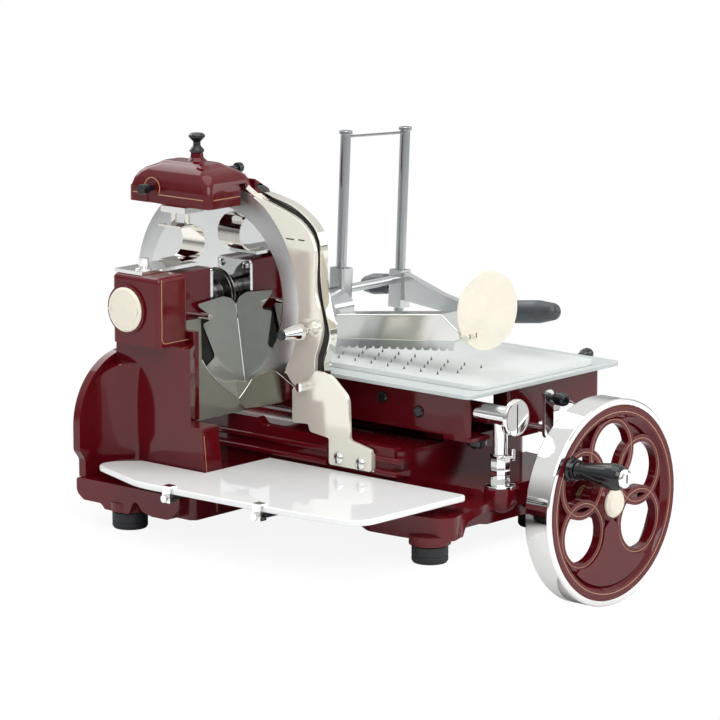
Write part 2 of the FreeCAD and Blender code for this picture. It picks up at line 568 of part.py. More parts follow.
def press():
    posts = [rod(lean_at(getattr(s, x), -1), "lean", "post_radius", long + " + 1")
             for x, long in (("post_left_x", "post_long"), ("post_right_x", "post_long - 7"))]
    posts += [rod(lean_at(s.post_left_x, s.post_long - 5), "lean", 9, 6),
              rod(lean_at(s.post_right_x, s.post_long - 12), "lean", 9, 6)]
    x, y, z = lean_at(s.post_left_x, s.post_long - 9)
    strap = block((x, y - 6, z), 123, 12, 2, "lean")
    node("press_posts", cut(fuse(*posts, strap), block((100, -120, 190), 200, 60,
                                                       "table_low + table_thick - 190")))
    left = soften(block((lean_at(s.post_left_x, 58)[0] - 12, "post_y - 13", lean_at(0, 58)[2]),
                        24, 26, 48, "lean"), 5, lambda edge: edge.Length > 40)
    right = block((lean_at(s.post_right_x, 36)[0] - 10, "post_y - 11", lean_at(0, 36)[2]),
                  20, 22, 52, "lean")
    bar = rod((154, "post_y", 280), "x", 6, 106)
    arm = plate("YZ", 262, 12, [(-98, 291), (-98, 252), (-240, 238, 4), (-244, 252, 6),
                                (-170, 268, 60)])
    reach = plate("YZ", 100, 38, [(-82, 294, 10), (-122, 270, 14), (-122, 226, 4), (-104, 226, 4),
                                  (-96, 252, 10), (-82, 266)])
    bores = [rod((*lean_at(getattr(s, x), -1)[:2], lean_at(0, -1)[2]), "lean",
                 "post_radius + running_gap", 320) for x in ("post_left_x", "post_right_x")]
    front_at, rear_at = (268, -238, 251), (268, -80, 271.5)
    tangs = [rod(front_at, "raised", 5, 26), rod(rear_at, "lowered", 5, 14)]
    node("press_frame", cut(fuse(left, right, bar, arm, reach, *tangs), *bores))
    front = turned(front_at, "raised", (5, 7), (8, 7), (12, 20), (15.5, 60), (15.5, 100),
                   (11, 128), (0, 136), (0, 30), (5, 30))
    rear = turned(rear_at, "lowered", (5, 3), (11, 3), (14, 12), (14.5, 36), (10, 54), (0, 58),
                  (0, 16), (5, 16))
    node("press_grip", group(front, rear))
    wedge = plate("YZ", 86, 34, [(-122, 226), (-122, 248, 4), (-136, 260, 6), (-318, 282, 5),
                                 (-348, 262), (-348, 252), (-342, 248)])
    node("press_plate", wedge)
    comb = [(-126, 226.4), (-340, 247.6)]
    count = 15
    for i in range(count):
        y = -340 + i * 214 / count
        z = 247.4 - i * 21.2 / count
        comb += [(y + 2, z - 12), (y + 9, z - 13), (y + 12.5, z - 9)]
    node("press_comb", plate("YZ", 88, 2, comb))
    disc = rod((134, -355.5, 285), "faced", "press_disc", 3)
    studs = [rod((x, -348, 257), "-y", 4, 14) for x in (93, 106)]
    node("press_disc", fuse(disc, *studs))


# A skin through rounded rectangles, each (height, inset, corner radius) inside the cap's skirt
def domed(*levels):
    loft = doc.addObject("Part::Loft", "Loft")
    sections = []
    for high, inset, radius in levels:
        x0, y0 = s.cap_left + inset, s.cap_front + inset * 1.2
        x1, y1 = s.cap_left + s.cap_wide - inset, s.cap_front + s.cap_long - inset * 1.2
        level = doc.addObject("Sketcher::SketchObject", "Level")
        outline(level, [(x0, y0, radius), (x1, y0, radius), (x1, y1, radius), (x0, y1, radius)])
        sections.append(place(level, (0, 0, high)))
    loft.Sections, loft.Solid, loft.Ruled = sections, True, False
    return loft


def skirt(inset, high):
    return soften(block((f"cap_left + {inset}", f"cap_front + {inset}",
                         f"cap_low - {inset / 3}"), f"cap_wide - 2*{inset}",
                        f"cap_long - 2*{inset}", high), 10 - inset, upright)


def roof(inset, rise):
    return domed((430 + rise * 1.4, 6 + inset, 10), (440 + rise, 7 + inset, 10),
                 (449 + rise, 9 + inset, 11), (455 + rise, 15 + inset, 13),
                 (460 + rise, 24 + inset, 12), (464 + rise, 34 + inset, 6))


def sharpener():
    foot = block((-168, -22, 332), 106, 50, 5)
    screw = turned((-150, -8, 337), "z", (0, 0), (11, 0), (11, 2), (6, 3), (7, 5), (7, 15), (0, 16))
    node("sharpener_base", fuse(foot, screw))
    curl = cut(rod((-62, -14, 361.5), "y", 24.5, 40), rod((-62, -14, 361.5), "y", 22, 40),
               block((-100, -14, 330), 38, 40, 60))
    flats = [block((-86, -14, z), 26, 40, 2.5) for z in (337, 383.5)]
    pins = [rod((-65, y, 386), "z", 3.5, 34) for y in (-6, 18)]
    node("sharpener_bracket", fuse(curl, *flats, *pins))
    beam = block((-80, -16, 402), 56, 44, 8)
    mast = block((-32, 2, 402), 8, 28, 39)
    bridge = block((-32, 2, 437.2), 43.5, 28, 3.8)
    hanger = block((8.1, 2, 416), 3.4, 28, 25)
    bores = [rod((-65, y, 380), "z", "3.5 + running_gap", 50) for y in (-6, 18)]
    axles = [rod((-40, 16, 422), "x", "3 + running_gap", 20),
             rod((5, 16, 426), "x", "3 + running_gap", 10)]
    node("stone_holder", cut(fuse(beam, mast, bridge, hanger), *bores, *axles))
    node("grinding_stone", turned((-32, 16, 422), "x", (0, 0), (3, 0), (3, 10), (13, 12),
                                  (13, 21), (0, 21)))
    node("honing_stone", turned((12, 16, 426), "-x", (0, 0), (3, 0), (3, 4), (10, 5), (10, 9),
                                (0, 9)))
    shell = [fuse(skirt(0, "cap_skirt"), roof(0, 0)), fuse(skirt(3, "cap_skirt - 2"), roof(3, -3))]
    visor = plate("XZ", s.cap_front, 118, [(18, 424), (18, 442), (46, 426, 4), (46, 417, 1),
                                           (43, 417, 1), (43, 422, 3), (19, 435), (19, 424)])
    ends = [plate("XZ", y, 2, [(18, 418), (18, 442), (46, 426, 4), (46, 417)])
            for y in (s.cap_front, s.cap_front + 116)]
    slot = block((-10, "cap_front - 1", "cap_low - 1"), 14, 15, 28)
    bores = [rod((-76, 51, 430), "x", "4 + running_gap", 20),
             rod((-6, -10, 452), "x", "4 + running_gap", 36),
             rod((-22, 16, 455), "z", "5 + running_gap", 30)]
    recess = [rod(("cap_left - 1", 51, 430), "x", 9, 2.2),
              block(("cap_left - 1", 42, "cap_low - 1"), 2.2, 18, 21)]
    neck = turned((-22, 16, 458), "z", (0, 0), (16, 0), (14, 6), (9, 11), (8, 18), (0, 18))
    hood = rod(("cap_left", 51, 430), "x", 12, 8)
    shape = fuse(cut(fuse(shell[0], visor, *ends, neck), shell[1], slot), hood)
    node("sharpener_cap", cut(shape, *bores, *recess))
    node("sharpener_knob", turned((-22, 16, 442), "z", (0, 0), (5, 0), (5, 34), (9.5, 34), (10, 37),
                                  (5, 43), (5, 48), (11, 54), (11, 57), (8, 59.5), (0, 59.5)))
    node("grinding_button", turned((-94, 51, 430), "x", (0, 0), (7, 0), (7, 12), (4, 12), (4, 32),
                                   (6, 32), (6, 34), (0, 34)))
    node("honing_button", turned((36, -10, 452), "-x", (0, 0), (6, 0), (7, 2), (7, 9), (4, 9),
                                 (4, 34), (0, 34)))


def guards():
    bore = [(s.lock_y, s.lock_z, 5 + s.running_gap)]
    shape = plate("YZ", "gauge_left", "gauge_thick",
                  [(-78, 434, 6), (-132, 421, 20), (-170, 410, 24), (-197, 380, 28),
                   (-198, 345, 60), (-214, 268, 10), (-212, 244, 10), (-190, 232, 12),
                   (-205, 206, 14), (-203, 178, 12), (-172, 170, 10), (-152, 190, 16),
                   (-142, 212), (-60, 300), (-60, 432)], bore)
    ring_cut = taper(("gauge_left - 0.01", 0, "blade_axis_z"), "x", 166, 153, "gauge_thick + 0.02")
    node("gauge_plate", cut(shape, ring_cut))
    post = plate("YZ", -29, 6, [(-176, 204, 6), (-206, 208, 6), (-246, 203, 14), (-260, 182, 16),
                                (-260, 122, 8),
                                (-298, 110, 6), (-298, 84, 4), (-222, 84, 4), (-222, 118, 6),
                                (-160, 128, 4), (-156, 160, 8), (-166, 180, 8)])
    foot = block((-23, -298, 86), 3, 76, 24)
    node("support_bracket", fuse(post, foot))
    leaf = [(-102, 289, 6), (-54, 296, 12), (-27, 276, 14), (-20, 227), (-9.5, 178, 3),
            (-30, 181), (-60, 209), (-82, 235), (-104, 262, 4), (-92, 270, 5), (-104, 279, 3)]
    hole = [(-80, 270, 4)]
    node("slice_deflector", plate("XZ", -57, "sheet", leaf, hole))
    apron = plate("XZ", -53, "sheet", [(-107, 280, 6), (-107, 156, 4), (-112, 148, 3),
                                       (-112, 136.5), (-9.5, 134.5, 3), (-9.5, 141), (-57, 178, 120),
                                       (-97, 226, 30), (-92, 256, 8), (-66, 260, 6), (-66, 280, 8)],
                  hole)
    lip = block((-111, -64, 136.5), 46, 13, "sheet")
    node("lower_deflector", fuse(apron, lip))
    node("blade_guard", plate("YZ", -23, "sheet", [(-53, 150), (-70, 140, 4), (-158, 158, 8),
                                                   (-160, 180, 8), (-120, 200, 20), (-70, 176, 20),
                                                   (-53, 176)]))
    taper_grip = [(0, 0), (7, 0), (9, 3), (9, 20), (6.5, 44), (5, 44), (5, 78), (7, 78), (7, 104),
                  (5, 106), (0, 106)]
    node("gauge_lock", turned((-73, "lock_y", "lock_z"), "x", *taper_grip))


def tray():
    edge = [(-152, -118), (-152, -5, 6), (-178, 20, 10), (-207, 30, 20), (-250, -90, 120),
            (-246, -300, 400), (-234, -456, 36), (-27, -459, 8), (-27, -118)]
    node("receiving_tray", plate("XY", "tray_low", "tray_thick", edge))
    arms, clips = [], []
    for y, x in ((-145, -247), (-300, -245)):
        arms.append(taper((x + 6, y, 67), "x", 4, 6, -20 - x - 6))
        clips += [block((x - 6, y - 7, 62), 12, 14, 4)]
        clips += [block((x - 6, y - 7, 62), 3, 14, 22), block((x - 6, y - 7, 81), 13, 14, 3)]
        clips += [rod((x - 6, y, 68), "-x", 5, 5)]
    node("tray_arms", group(*arms))
    node("tray_clips", group(fuse(*clips[:4]), fuse(*clips[4:])))


def regulator():
    collar = turned(("regulator_x", "regulator_y", "apron_z"), "z", (0, 0), (20, 0), (20, 3),
                    (10, 5), (10, 42), (9.5, 44), (9.5, 88), (0, 88))
    corners = [(s.regulator_x + 13.5 * math.cos(math.pi * (k + 0.5) / 4),
                s.regulator_y + 13.5 * math.sin(math.pi * (k + 0.5) / 4)) for k in range(8)]
    nut = plate("XY", "apron_z + 4", 38, corners)
    head = rod(("regulator_x", -463, "head_z"), "y", "head_radius", 85)
    lever = rod(("regulator_x", "regulator_y", 108), "x", 3, 26)
    tip = rod(("regulator_x + 26", "regulator_y", 104), "z", 3, 16)
    node("regulator_post", fuse(collar, nut, head, lever, tip))
    node("regulator_dial", turned(("regulator_x", -463.3, "head_z"), "-y", (0, 0), (24.6, 0),
                                  (24.6, 4), (23, 5.5), (21, 5), (0, 5)))


for make in (bed, feet, column, housing, drive_bushes, blade, chain, drive, flywheel, carriage,
             meat_table, feed_crank, press, sharpener, guards, tray, regulator):
    make()

doc.recompute()
for thing in doc.Objects:
    if {"Invalid", "Error"} & set(thing.State):
        raise SystemExit(f"{thing.Label} failed: {thing.State}")
os.makedirs("parts", exist_ok=True)
for thing in nodes:
    if thing.Shape.isNull() or not thing.Shape.isValid():
        raise SystemExit(f"{thing.Label} has no valid shape")
for thing in nodes:
    thing.Shape.exportStep(f"parts/{thing.Label}.step")
print(len(nodes), "nodes")
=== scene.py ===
import json
import math
import bmesh
import bpy
from mathutils import Matrix, Vector


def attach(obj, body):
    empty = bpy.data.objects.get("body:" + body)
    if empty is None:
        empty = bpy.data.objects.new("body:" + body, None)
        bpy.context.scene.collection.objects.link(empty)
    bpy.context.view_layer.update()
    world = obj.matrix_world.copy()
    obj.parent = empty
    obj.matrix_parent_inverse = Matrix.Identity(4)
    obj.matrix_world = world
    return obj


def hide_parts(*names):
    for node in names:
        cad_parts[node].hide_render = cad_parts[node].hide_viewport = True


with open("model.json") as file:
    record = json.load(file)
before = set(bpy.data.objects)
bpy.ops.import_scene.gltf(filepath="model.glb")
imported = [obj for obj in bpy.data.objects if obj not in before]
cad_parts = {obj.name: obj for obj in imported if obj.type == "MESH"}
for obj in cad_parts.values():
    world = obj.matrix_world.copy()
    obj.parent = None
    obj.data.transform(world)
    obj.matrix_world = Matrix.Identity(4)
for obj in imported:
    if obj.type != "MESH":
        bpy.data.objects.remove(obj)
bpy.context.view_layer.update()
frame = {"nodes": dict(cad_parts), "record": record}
cadNodes = frame["nodes"]
mm = 0.001
print("frame loaded:", len(cadNodes), "nodes")


view = {"azimuth": -48.7, "elevation": 10.95, "lens": 200, "distance": 5.36,
        "bladeAxis": (0, 0, 0.286), "bladePixel": (218.0, 292.0), "frame": 720, "focal": 4000}


def placeCamera():
    a, e = math.radians(view["azimuth"]), math.radians(view["elevation"])
    back = Vector((math.sin(a) * math.cos(e), -math.cos(a) * math.cos(e), math.sin(e)))
    right = (-back).cross(Vector((0, 0, 1))).normalized()
    up = right.cross(-back)
    px, py = view["bladePixel"]
    half = view["frame"] / 2
    ray = -back * view["focal"] + right * (px - half) - up * (py - half)
    data = bpy.data.cameras.new("camera")
    data.lens, data.sensor_width = view["lens"], 36
    data.clip_start, data.clip_end = 0.1, 60
    camera = bpy.data.objects.new("camera", data)
    camera.rotation_mode = "QUATERNION"
    camera.rotation_quaternion = (-back).to_track_quat("-Z", "Y")
    camera.location = Vector(view["bladeAxis"]) - ray / view["focal"] * view["distance"]
    bpy.context.scene.collection.objects.link(camera)
    bpy.context.scene.camera = camera


def newMaterial(name):
    material = bpy.data.materials.new(name)
    material.use_nodes = True
    material.node_tree.nodes.clear()
    return material, material.node_tree


stage = {"counterFront": -0.478, "counterDepth": 1.6, "counterWide": 5.0, "floor": -0.115,
         "white": 0.83, "glow": 0.9,
         "fades": (("X", -0.32, -0.6), ("X", 0.32, 0.6), ("Y", 0.12, 0.4), ("Y", -0.43, -0.47))}


# white paper that keeps only a soft shadow near the machine; further out it is plain white
def makePaper(name, fades):
    material, tree = newMaterial(name)
    out = tree.nodes.new("ShaderNodeOutputMaterial")
    mix = tree.nodes.new("ShaderNodeMixShader")
    glow = tree.nodes.new("ShaderNodeEmission")
    paper = tree.nodes.new("ShaderNodeBsdfDiffuse")
    path = tree.nodes.new("ShaderNodeLightPath")
    place = tree.nodes.new("ShaderNodeNewGeometry")
    split = tree.nodes.new("ShaderNodeSeparateXYZ")
    tree.links.new(place.outputs["Position"], split.inputs[0])
    last = None
    for axis, near, far in fades:
        ease = tree.nodes.new("ShaderNodeMapRange")
        for socket, value in (("From Min", near), ("From Max", far), ("To Min", stage["glow"])):
            ease.inputs[socket].default_value = value
        tree.links.new(split.outputs[axis], ease.inputs["Value"])
        most = tree.nodes.new("ShaderNodeMath")
        most.operation = "MAXIMUM"
        tree.links.new(ease.outputs[0], most.inputs[0])
        if last:
            tree.links.new(last, most.inputs[1])
        last = most.outputs[0]
    share = tree.nodes.new("ShaderNodeMath")
    share.operation = "MULTIPLY"
    share.inputs[1].default_value = 1
    tree.links.new(path.outputs["Is Camera Ray"], share.inputs[0])
    if last:
        tree.links.new(last, share.inputs[1])
    paper.inputs["Color"].default_value = (stage["white"],) * 3 + (1,)
    tree.links.new(share.outputs[0], mix.inputs[0])
    tree.links.new(paper.outputs[0], mix.inputs[1])
    tree.links.new(glow.outputs[0], mix.inputs[2])
    tree.links.new(mix.outputs[0], out.inputs[0])
    return material


def makeStage():
    deep, front = stage["counterDepth"], stage["counterFront"]
    for name, fades, size, middle in (
            ("counterSlab", stage["fades"], (stage["counterWide"], deep, 0.1), (0, front + deep / 2, -0.05)),
            ("studioFloor", (), (16, 16, 0.02), (0, 0, stage["floor"] - 0.01))):
        mesh = bpy.data.meshes.new(name)
        shape = bmesh.new()
        bmesh.ops.create_cube(shape, size=1)
        bmesh.ops.scale(shape, vec=size, verts=shape.verts)
        bmesh.ops.translate(shape, vec=middle, verts=shape.verts)
        shape.to_mesh(mesh)
        shape.free()
        slab = bpy.data.objects.new(name, mesh)
        mesh.materials.append(makePaper(name, fades))
        bpy.context.scene.collection.objects.link(slab)


lights = {"key": ((-1.6, -2.2, 2.4), 2.2, 46), "fill": ((1.9, -2.4, 1.3), 2.0, 20),
          "back": ((0.6, 2.4, 2.2), 2.4, 34), "top": ((0, -0.2, 3.0), 2.6, 30)}


lightAim = (0.02, -0.2, 0.2)
sky = {"strength": 0.9,
       "stops": ((0.0, 0.55), (0.46, 0.62), (0.51, 0.3), (0.58, 0.4), (0.72, 0.95), (1.0, 1.0))}


def makeLights():
    for name, (place, size, power) in lights.items():
        lamp = bpy.data.lights.new(name, "AREA")
        lamp.shape, lamp.size, lamp.energy = "DISK", size, power
        holder = bpy.data.objects.new(name, lamp)
        holder.location = place
        aim = Vector(lightAim) - Vector(place)
        holder.rotation_euler = aim.to_track_quat("-Z", "Y").to_euler()
        bpy.context.scene.collection.objects.link(holder)
    world = bpy.data.worlds.new("studio")
    bpy.context.scene.world = world
    world.use_nodes = True
    tree = world.node_tree
    dome = tree.nodes["Background"]
    path = tree.nodes.new("ShaderNodeLightPath")
    plain = tree.nodes.new("ShaderNodeBackground")
    mix = tree.nodes.new("ShaderNodeMixShader")
    place = tree.nodes.new("ShaderNodeTexCoord")
    split = tree.nodes.new("ShaderNodeSeparateXYZ")
    ramp = tree.nodes.new("ShaderNodeValToRGB")
    while len(ramp.color_ramp.elements) < len(sky["stops"]):
        ramp.color_ramp.elements.new(0.5)
    for element, (spot, grey) in zip(ramp.color_ramp.elements, sky["stops"]):
        element.position, element.color = spot, (grey, grey, grey, 1)
    rise = tree.nodes.new("ShaderNodeMapRange")
    rise.inputs["From Min"].default_value = -1
    tree.links.new(place.outputs["Generated"], split.inputs[0])
    tree.links.new(split.outputs["Z"], rise.inputs["Value"])
    tree.links.new(rise.outputs[0], ramp.inputs[0])
    tree.links.new(ramp.outputs[0], dome.inputs["Color"])
    dome.inputs["Strength"].default_value = sky["strength"]
    plain.inputs["Color"].default_value = (1, 1, 1, 1)
    tree.links.new(path.outputs["Is Camera Ray"], mix.inputs[0])
    tree.links.new(dome.outputs[0], mix.inputs[1])
    tree.links.new(plain.outputs[0], mix.inputs[2])
    tree.links.new(mix.outputs[0], tree.nodes["World Output"].inputs[0])
    bpy.context.scene.view_settings.view_transform = "Standard"


placeCamera()
makeStage()
makeLights()
print("camera, stage and lights placed")


def newGroup(name, inputs, outputs):
    group = bpy.data.node_groups.new(name, "ShaderNodeTree")
    for label, kind, value in inputs:
        socket = group.interface.new_socket(label, in_out="INPUT", socket_type=kind)
        socket.default_value = value
    for label, kind in outputs:
        group.interface.new_socket(label, in_out="OUTPUT", socket_type=kind)
    return group, group.nodes.new("NodeGroupInput"), group.nodes.new("NodeGroupOutput")


def put(tree, kind, **values):
    node = tree.nodes.new(kind)
    for key, value in values.items():
        if hasattr(node, key):
            setattr(node, key, value)
        else:
            node.inputs[key.replace("_", " ")].default_value = value
    return node


# speckle: smooth cloudy variation in colour and gloss, read in metres on the piece
def makeSpeckle():
    group, start, end = newGroup(
        "speckle", (("Scale", "NodeSocketFloat", 40.0), ("Low", "NodeSocketFloat", 0.9),
                    ("High", "NodeSocketFloat", 1.1)), (("Value", "NodeSocketFloat"),))
    place = put(group, "ShaderNodeTexCoord")
    noise = put(group, "ShaderNodeTexNoise", Detail=5.0, Roughness=0.6)
    spread = put(group, "ShaderNodeMapRange")
    spread.inputs["From Min"].default_value, spread.inputs["From Max"].default_value = 0.3, 0.7
    group.links.new(place.outputs["Object"], noise.inputs["Vector"])
    group.links.new(start.outputs["Scale"], noise.inputs["Scale"])
    group.links.new(noise.outputs[0], spread.inputs["Value"])
    group.links.new(start.outputs["Low"], spread.inputs["To Min"])
    group.links.new(start.outputs["High"], spread.inputs["To Max"])
    group.links.new(spread.outputs[0], end.inputs[0])
    return group


# edgeWear: a mask along sharp edges, broken up by noise
def makeEdgeWear():
    group, start, end = newGroup(
        "edgeWear", (("Width", "NodeSocketFloat", 0.001), ("Breakup", "NodeSocketFloat", 300.0)),
        (("Mask", "NodeSocketFloat"),))
    bevel = put(group, "ShaderNodeBevel", samples=4)
    face = put(group, "ShaderNodeNewGeometry")
    dot = put(group, "ShaderNodeVectorMath", operation="DOT_PRODUCT")
    place = put(group, "ShaderNodeTexCoord")
    noise = put(group, "ShaderNodeTexNoise", Detail=4.0)
    edge = put(group, "ShaderNodeMapRange")
    edge.inputs["From Min"].default_value, edge.inputs["From Max"].default_value = 0.995, 0.9
    rough = put(group, "ShaderNodeMapRange")
    rough.inputs["From Min"].default_value, rough.inputs["From Max"].default_value = 0.45, 0.6
    both = put(group, "ShaderNodeMath", operation="MULTIPLY")
    group.links.new(start.outputs["Width"], bevel.inputs["Radius"])
    group.links.new(bevel.outputs[0], dot.inputs[0])
    group.links.new(face.outputs["Normal"], dot.inputs[1])
    group.links.new(dot.outputs["Value"], edge.inputs["Value"])
    group.links.new(place.outputs["Object"], noise.inputs["Vector"])
    group.links.new(start.outputs["Breakup"], noise.inputs["Scale"])
    group.links.new(noise.outputs[0], rough.inputs["Value"])
    group.links.new(edge.outputs[0], both.inputs[0])
    group.links.new(rough.outputs[0], both.inputs[1])
    group.links.new(both.outputs[0], end.inputs[0])
    return group


# grain: fine height for a bump, stretched along one axis when the stretch isn't 1
def makeGrain():
    group, start, end = newGroup(
        "grain", (("Scale", "NodeSocketFloat", 800.0), ("Stretch", "NodeSocketVector", (1, 1, 1))),
        (("Height", "NodeSocketFloat"),))
    place = put(group, "ShaderNodeTexCoord")
    grow = put(group, "ShaderNodeVectorMath", operation="MULTIPLY")
    noise = put(group, "ShaderNodeTexNoise", Detail=6.0, Roughness=0.55)
    group.links.new(place.outputs["Object"], grow.inputs[0])
    group.links.new(start.outputs["Stretch"], grow.inputs[1])
    group.links.new(grow.outputs[0], noise.inputs["Vector"])
    group.links.new(start.outputs["Scale"], noise.inputs["Scale"])
    group.links.new(noise.outputs[0], end.inputs[0])
    return group


# turned: fine rings round the X axis through a centre, as a lathe or grinder leaves
def makeTurned():
    group, start, end = newGroup(
        "turnedRings", (("Centre", "NodeSocketVector", (0, 0, 0)), ("Scale", "NodeSocketFloat", 900.0)),
        (("Height", "NodeSocketFloat"), ("Away", "NodeSocketFloat")))
    place = put(group, "ShaderNodeTexCoord")
    away = put(group, "ShaderNodeVectorMath", operation="SUBTRACT")
    flat = put(group, "ShaderNodeVectorMath", operation="MULTIPLY")
    flat.inputs[1].default_value = (0, 1, 1)
    reach = put(group, "ShaderNodeVectorMath", operation="LENGTH")
    noise = put(group, "ShaderNodeTexNoise", noise_dimensions="1D", Detail=3.0)
    group.links.new(place.outputs["Object"], away.inputs[0])
    group.links.new(start.outputs["Centre"], away.inputs[1])
    group.links.new(away.outputs[0], flat.inputs[0])
    group.links.new(flat.outputs[0], reach.inputs[0])
    group.links.new(reach.outputs["Value"], noise.inputs["W"])
    group.links.new(start.outputs["Scale"], noise.inputs["Scale"])
    group.links.new(noise.outputs[0], end.inputs[0])
    group.links.new(reach.outputs["Value"], end.inputs[1])
    return group


speckle, edgeWear, grain, turnedRings = makeSpeckle(), makeEdgeWear(), makeGrain(), makeTurned()


def useGroup(tree, group, **values):
    node = tree.nodes.new("ShaderNodeGroup")
    node.node_tree = group
    for key, value in values.items():
        node.inputs[key].default_value = value
    return node


# One finish: colour and gloss vary a little, edges wear to wearColour, and grain is a fine bump
def makeFinish(name, recipe):
    material, tree = newMaterial(name)
    out = put(tree, "ShaderNodeOutputMaterial")
    skin = put(tree, "ShaderNodeBsdfPrincipled")
    tree.links.new(skin.outputs[0], out.inputs[0])
    skin.inputs["Metallic"].default_value = recipe.get("metallic", 0)
    skin.inputs["Specular IOR Level"].default_value = recipe.get("shine", 0.5)
    cloud = useGroup(tree, speckle, Scale=recipe.get("cloud", 30.0), Low=1 - recipe.get("vary", 0.1),
                     High=1 + recipe.get("vary", 0.1))
    shade = put(tree, "ShaderNodeVectorMath", operation="SCALE")
    shade.inputs[0].default_value = recipe["colour"]
    tree.links.new(cloud.outputs[0], shade.inputs["Scale"])
    wear = useGroup(tree, edgeWear, Width=0.0012, Breakup=260.0)
    faded = put(tree, "ShaderNodeMath", operation="MULTIPLY")
    faded.inputs[1].default_value = recipe.get("wear", 0.3)
    blend = put(tree, "ShaderNodeMix", data_type="RGBA")
    blend.inputs["B"].default_value = (*recipe.get("wearColour", recipe["colour"]), 1)
    tree.links.new(wear.outputs[0], faded.inputs[0])
    tree.links.new(faded.outputs[0], blend.inputs["Factor"])
    tree.links.new(shade.outputs[0], blend.inputs["A"])
    tree.links.new(blend.outputs["Result"], skin.inputs["Base Color"])
    low, high = recipe.get("rough", (0.15, 0.25))
    smear = useGroup(tree, speckle, Scale=recipe.get("smear", 18.0), Low=low, High=high)
    tree.links.new(smear.outputs[0], skin.inputs["Roughness"])
    fine = useGroup(tree, grain, Scale=recipe.get("grain", 700.0), Stretch=recipe.get("stretch", (1, 1, 1)))
    if "rings" in recipe:
        fine = useGroup(tree, turnedRings, Centre=recipe["rings"], Scale=recipe.get("grain", 900.0))
    if "band" in recipe:
        inner, outer, dull = recipe["band"]
        edge = put(tree, "ShaderNodeMapRange")
        for socket, value in (("From Min", inner), ("From Max", outer), ("To Max", dull)):
            edge.inputs[socket].default_value = value
        more = put(tree, "ShaderNodeMath", operation="ADD")
        tree.links.new(fine.outputs["Away"], edge.inputs["Value"])
        tree.links.new(edge.outputs[0], more.inputs[0])
        tree.links.new(smear.outputs[0], more.inputs[1])
        tree.links.new(more.outputs[0], skin.inputs["Roughness"])
    if "tips" in recipe:
        high, tipColour = recipe["tips"]
        place = put(tree, "ShaderNodeTexCoord")
        split = put(tree, "ShaderNodeSeparateXYZ")
        above = put(tree, "ShaderNodeMath", operation="GREATER_THAN")
        above.inputs[1].default_value = high
        top = put(tree, "ShaderNodeMix", data_type="RGBA")
        top.inputs["B"].default_value = (*tipColour, 1)
        tree.links.new(place.outputs["Object"], split.inputs[0])
        tree.links.new(split.outputs["Z"], above.inputs[0])
        tree.links.new(above.outputs[0], top.inputs["Factor"])
        tree.links.new(blend.outputs["Result"], top.inputs["A"])
        tree.links.new(top.outputs["Result"], skin.inputs["Base Color"])
        tree.links.new(above.outputs[0], skin.inputs["Metallic"])
    bump = put(tree, "ShaderNodeBump")
    bump.inputs["Strength"].default_value = recipe.get("bump", 0.1)
    bump.inputs["Distance"].default_value = recipe.get("depth", 0.0002)
    tree.links.new(fine.outputs[0], bump.inputs["Height"])
    tree.links.new(bump.outputs[0], skin.inputs["Normal"])
    return material


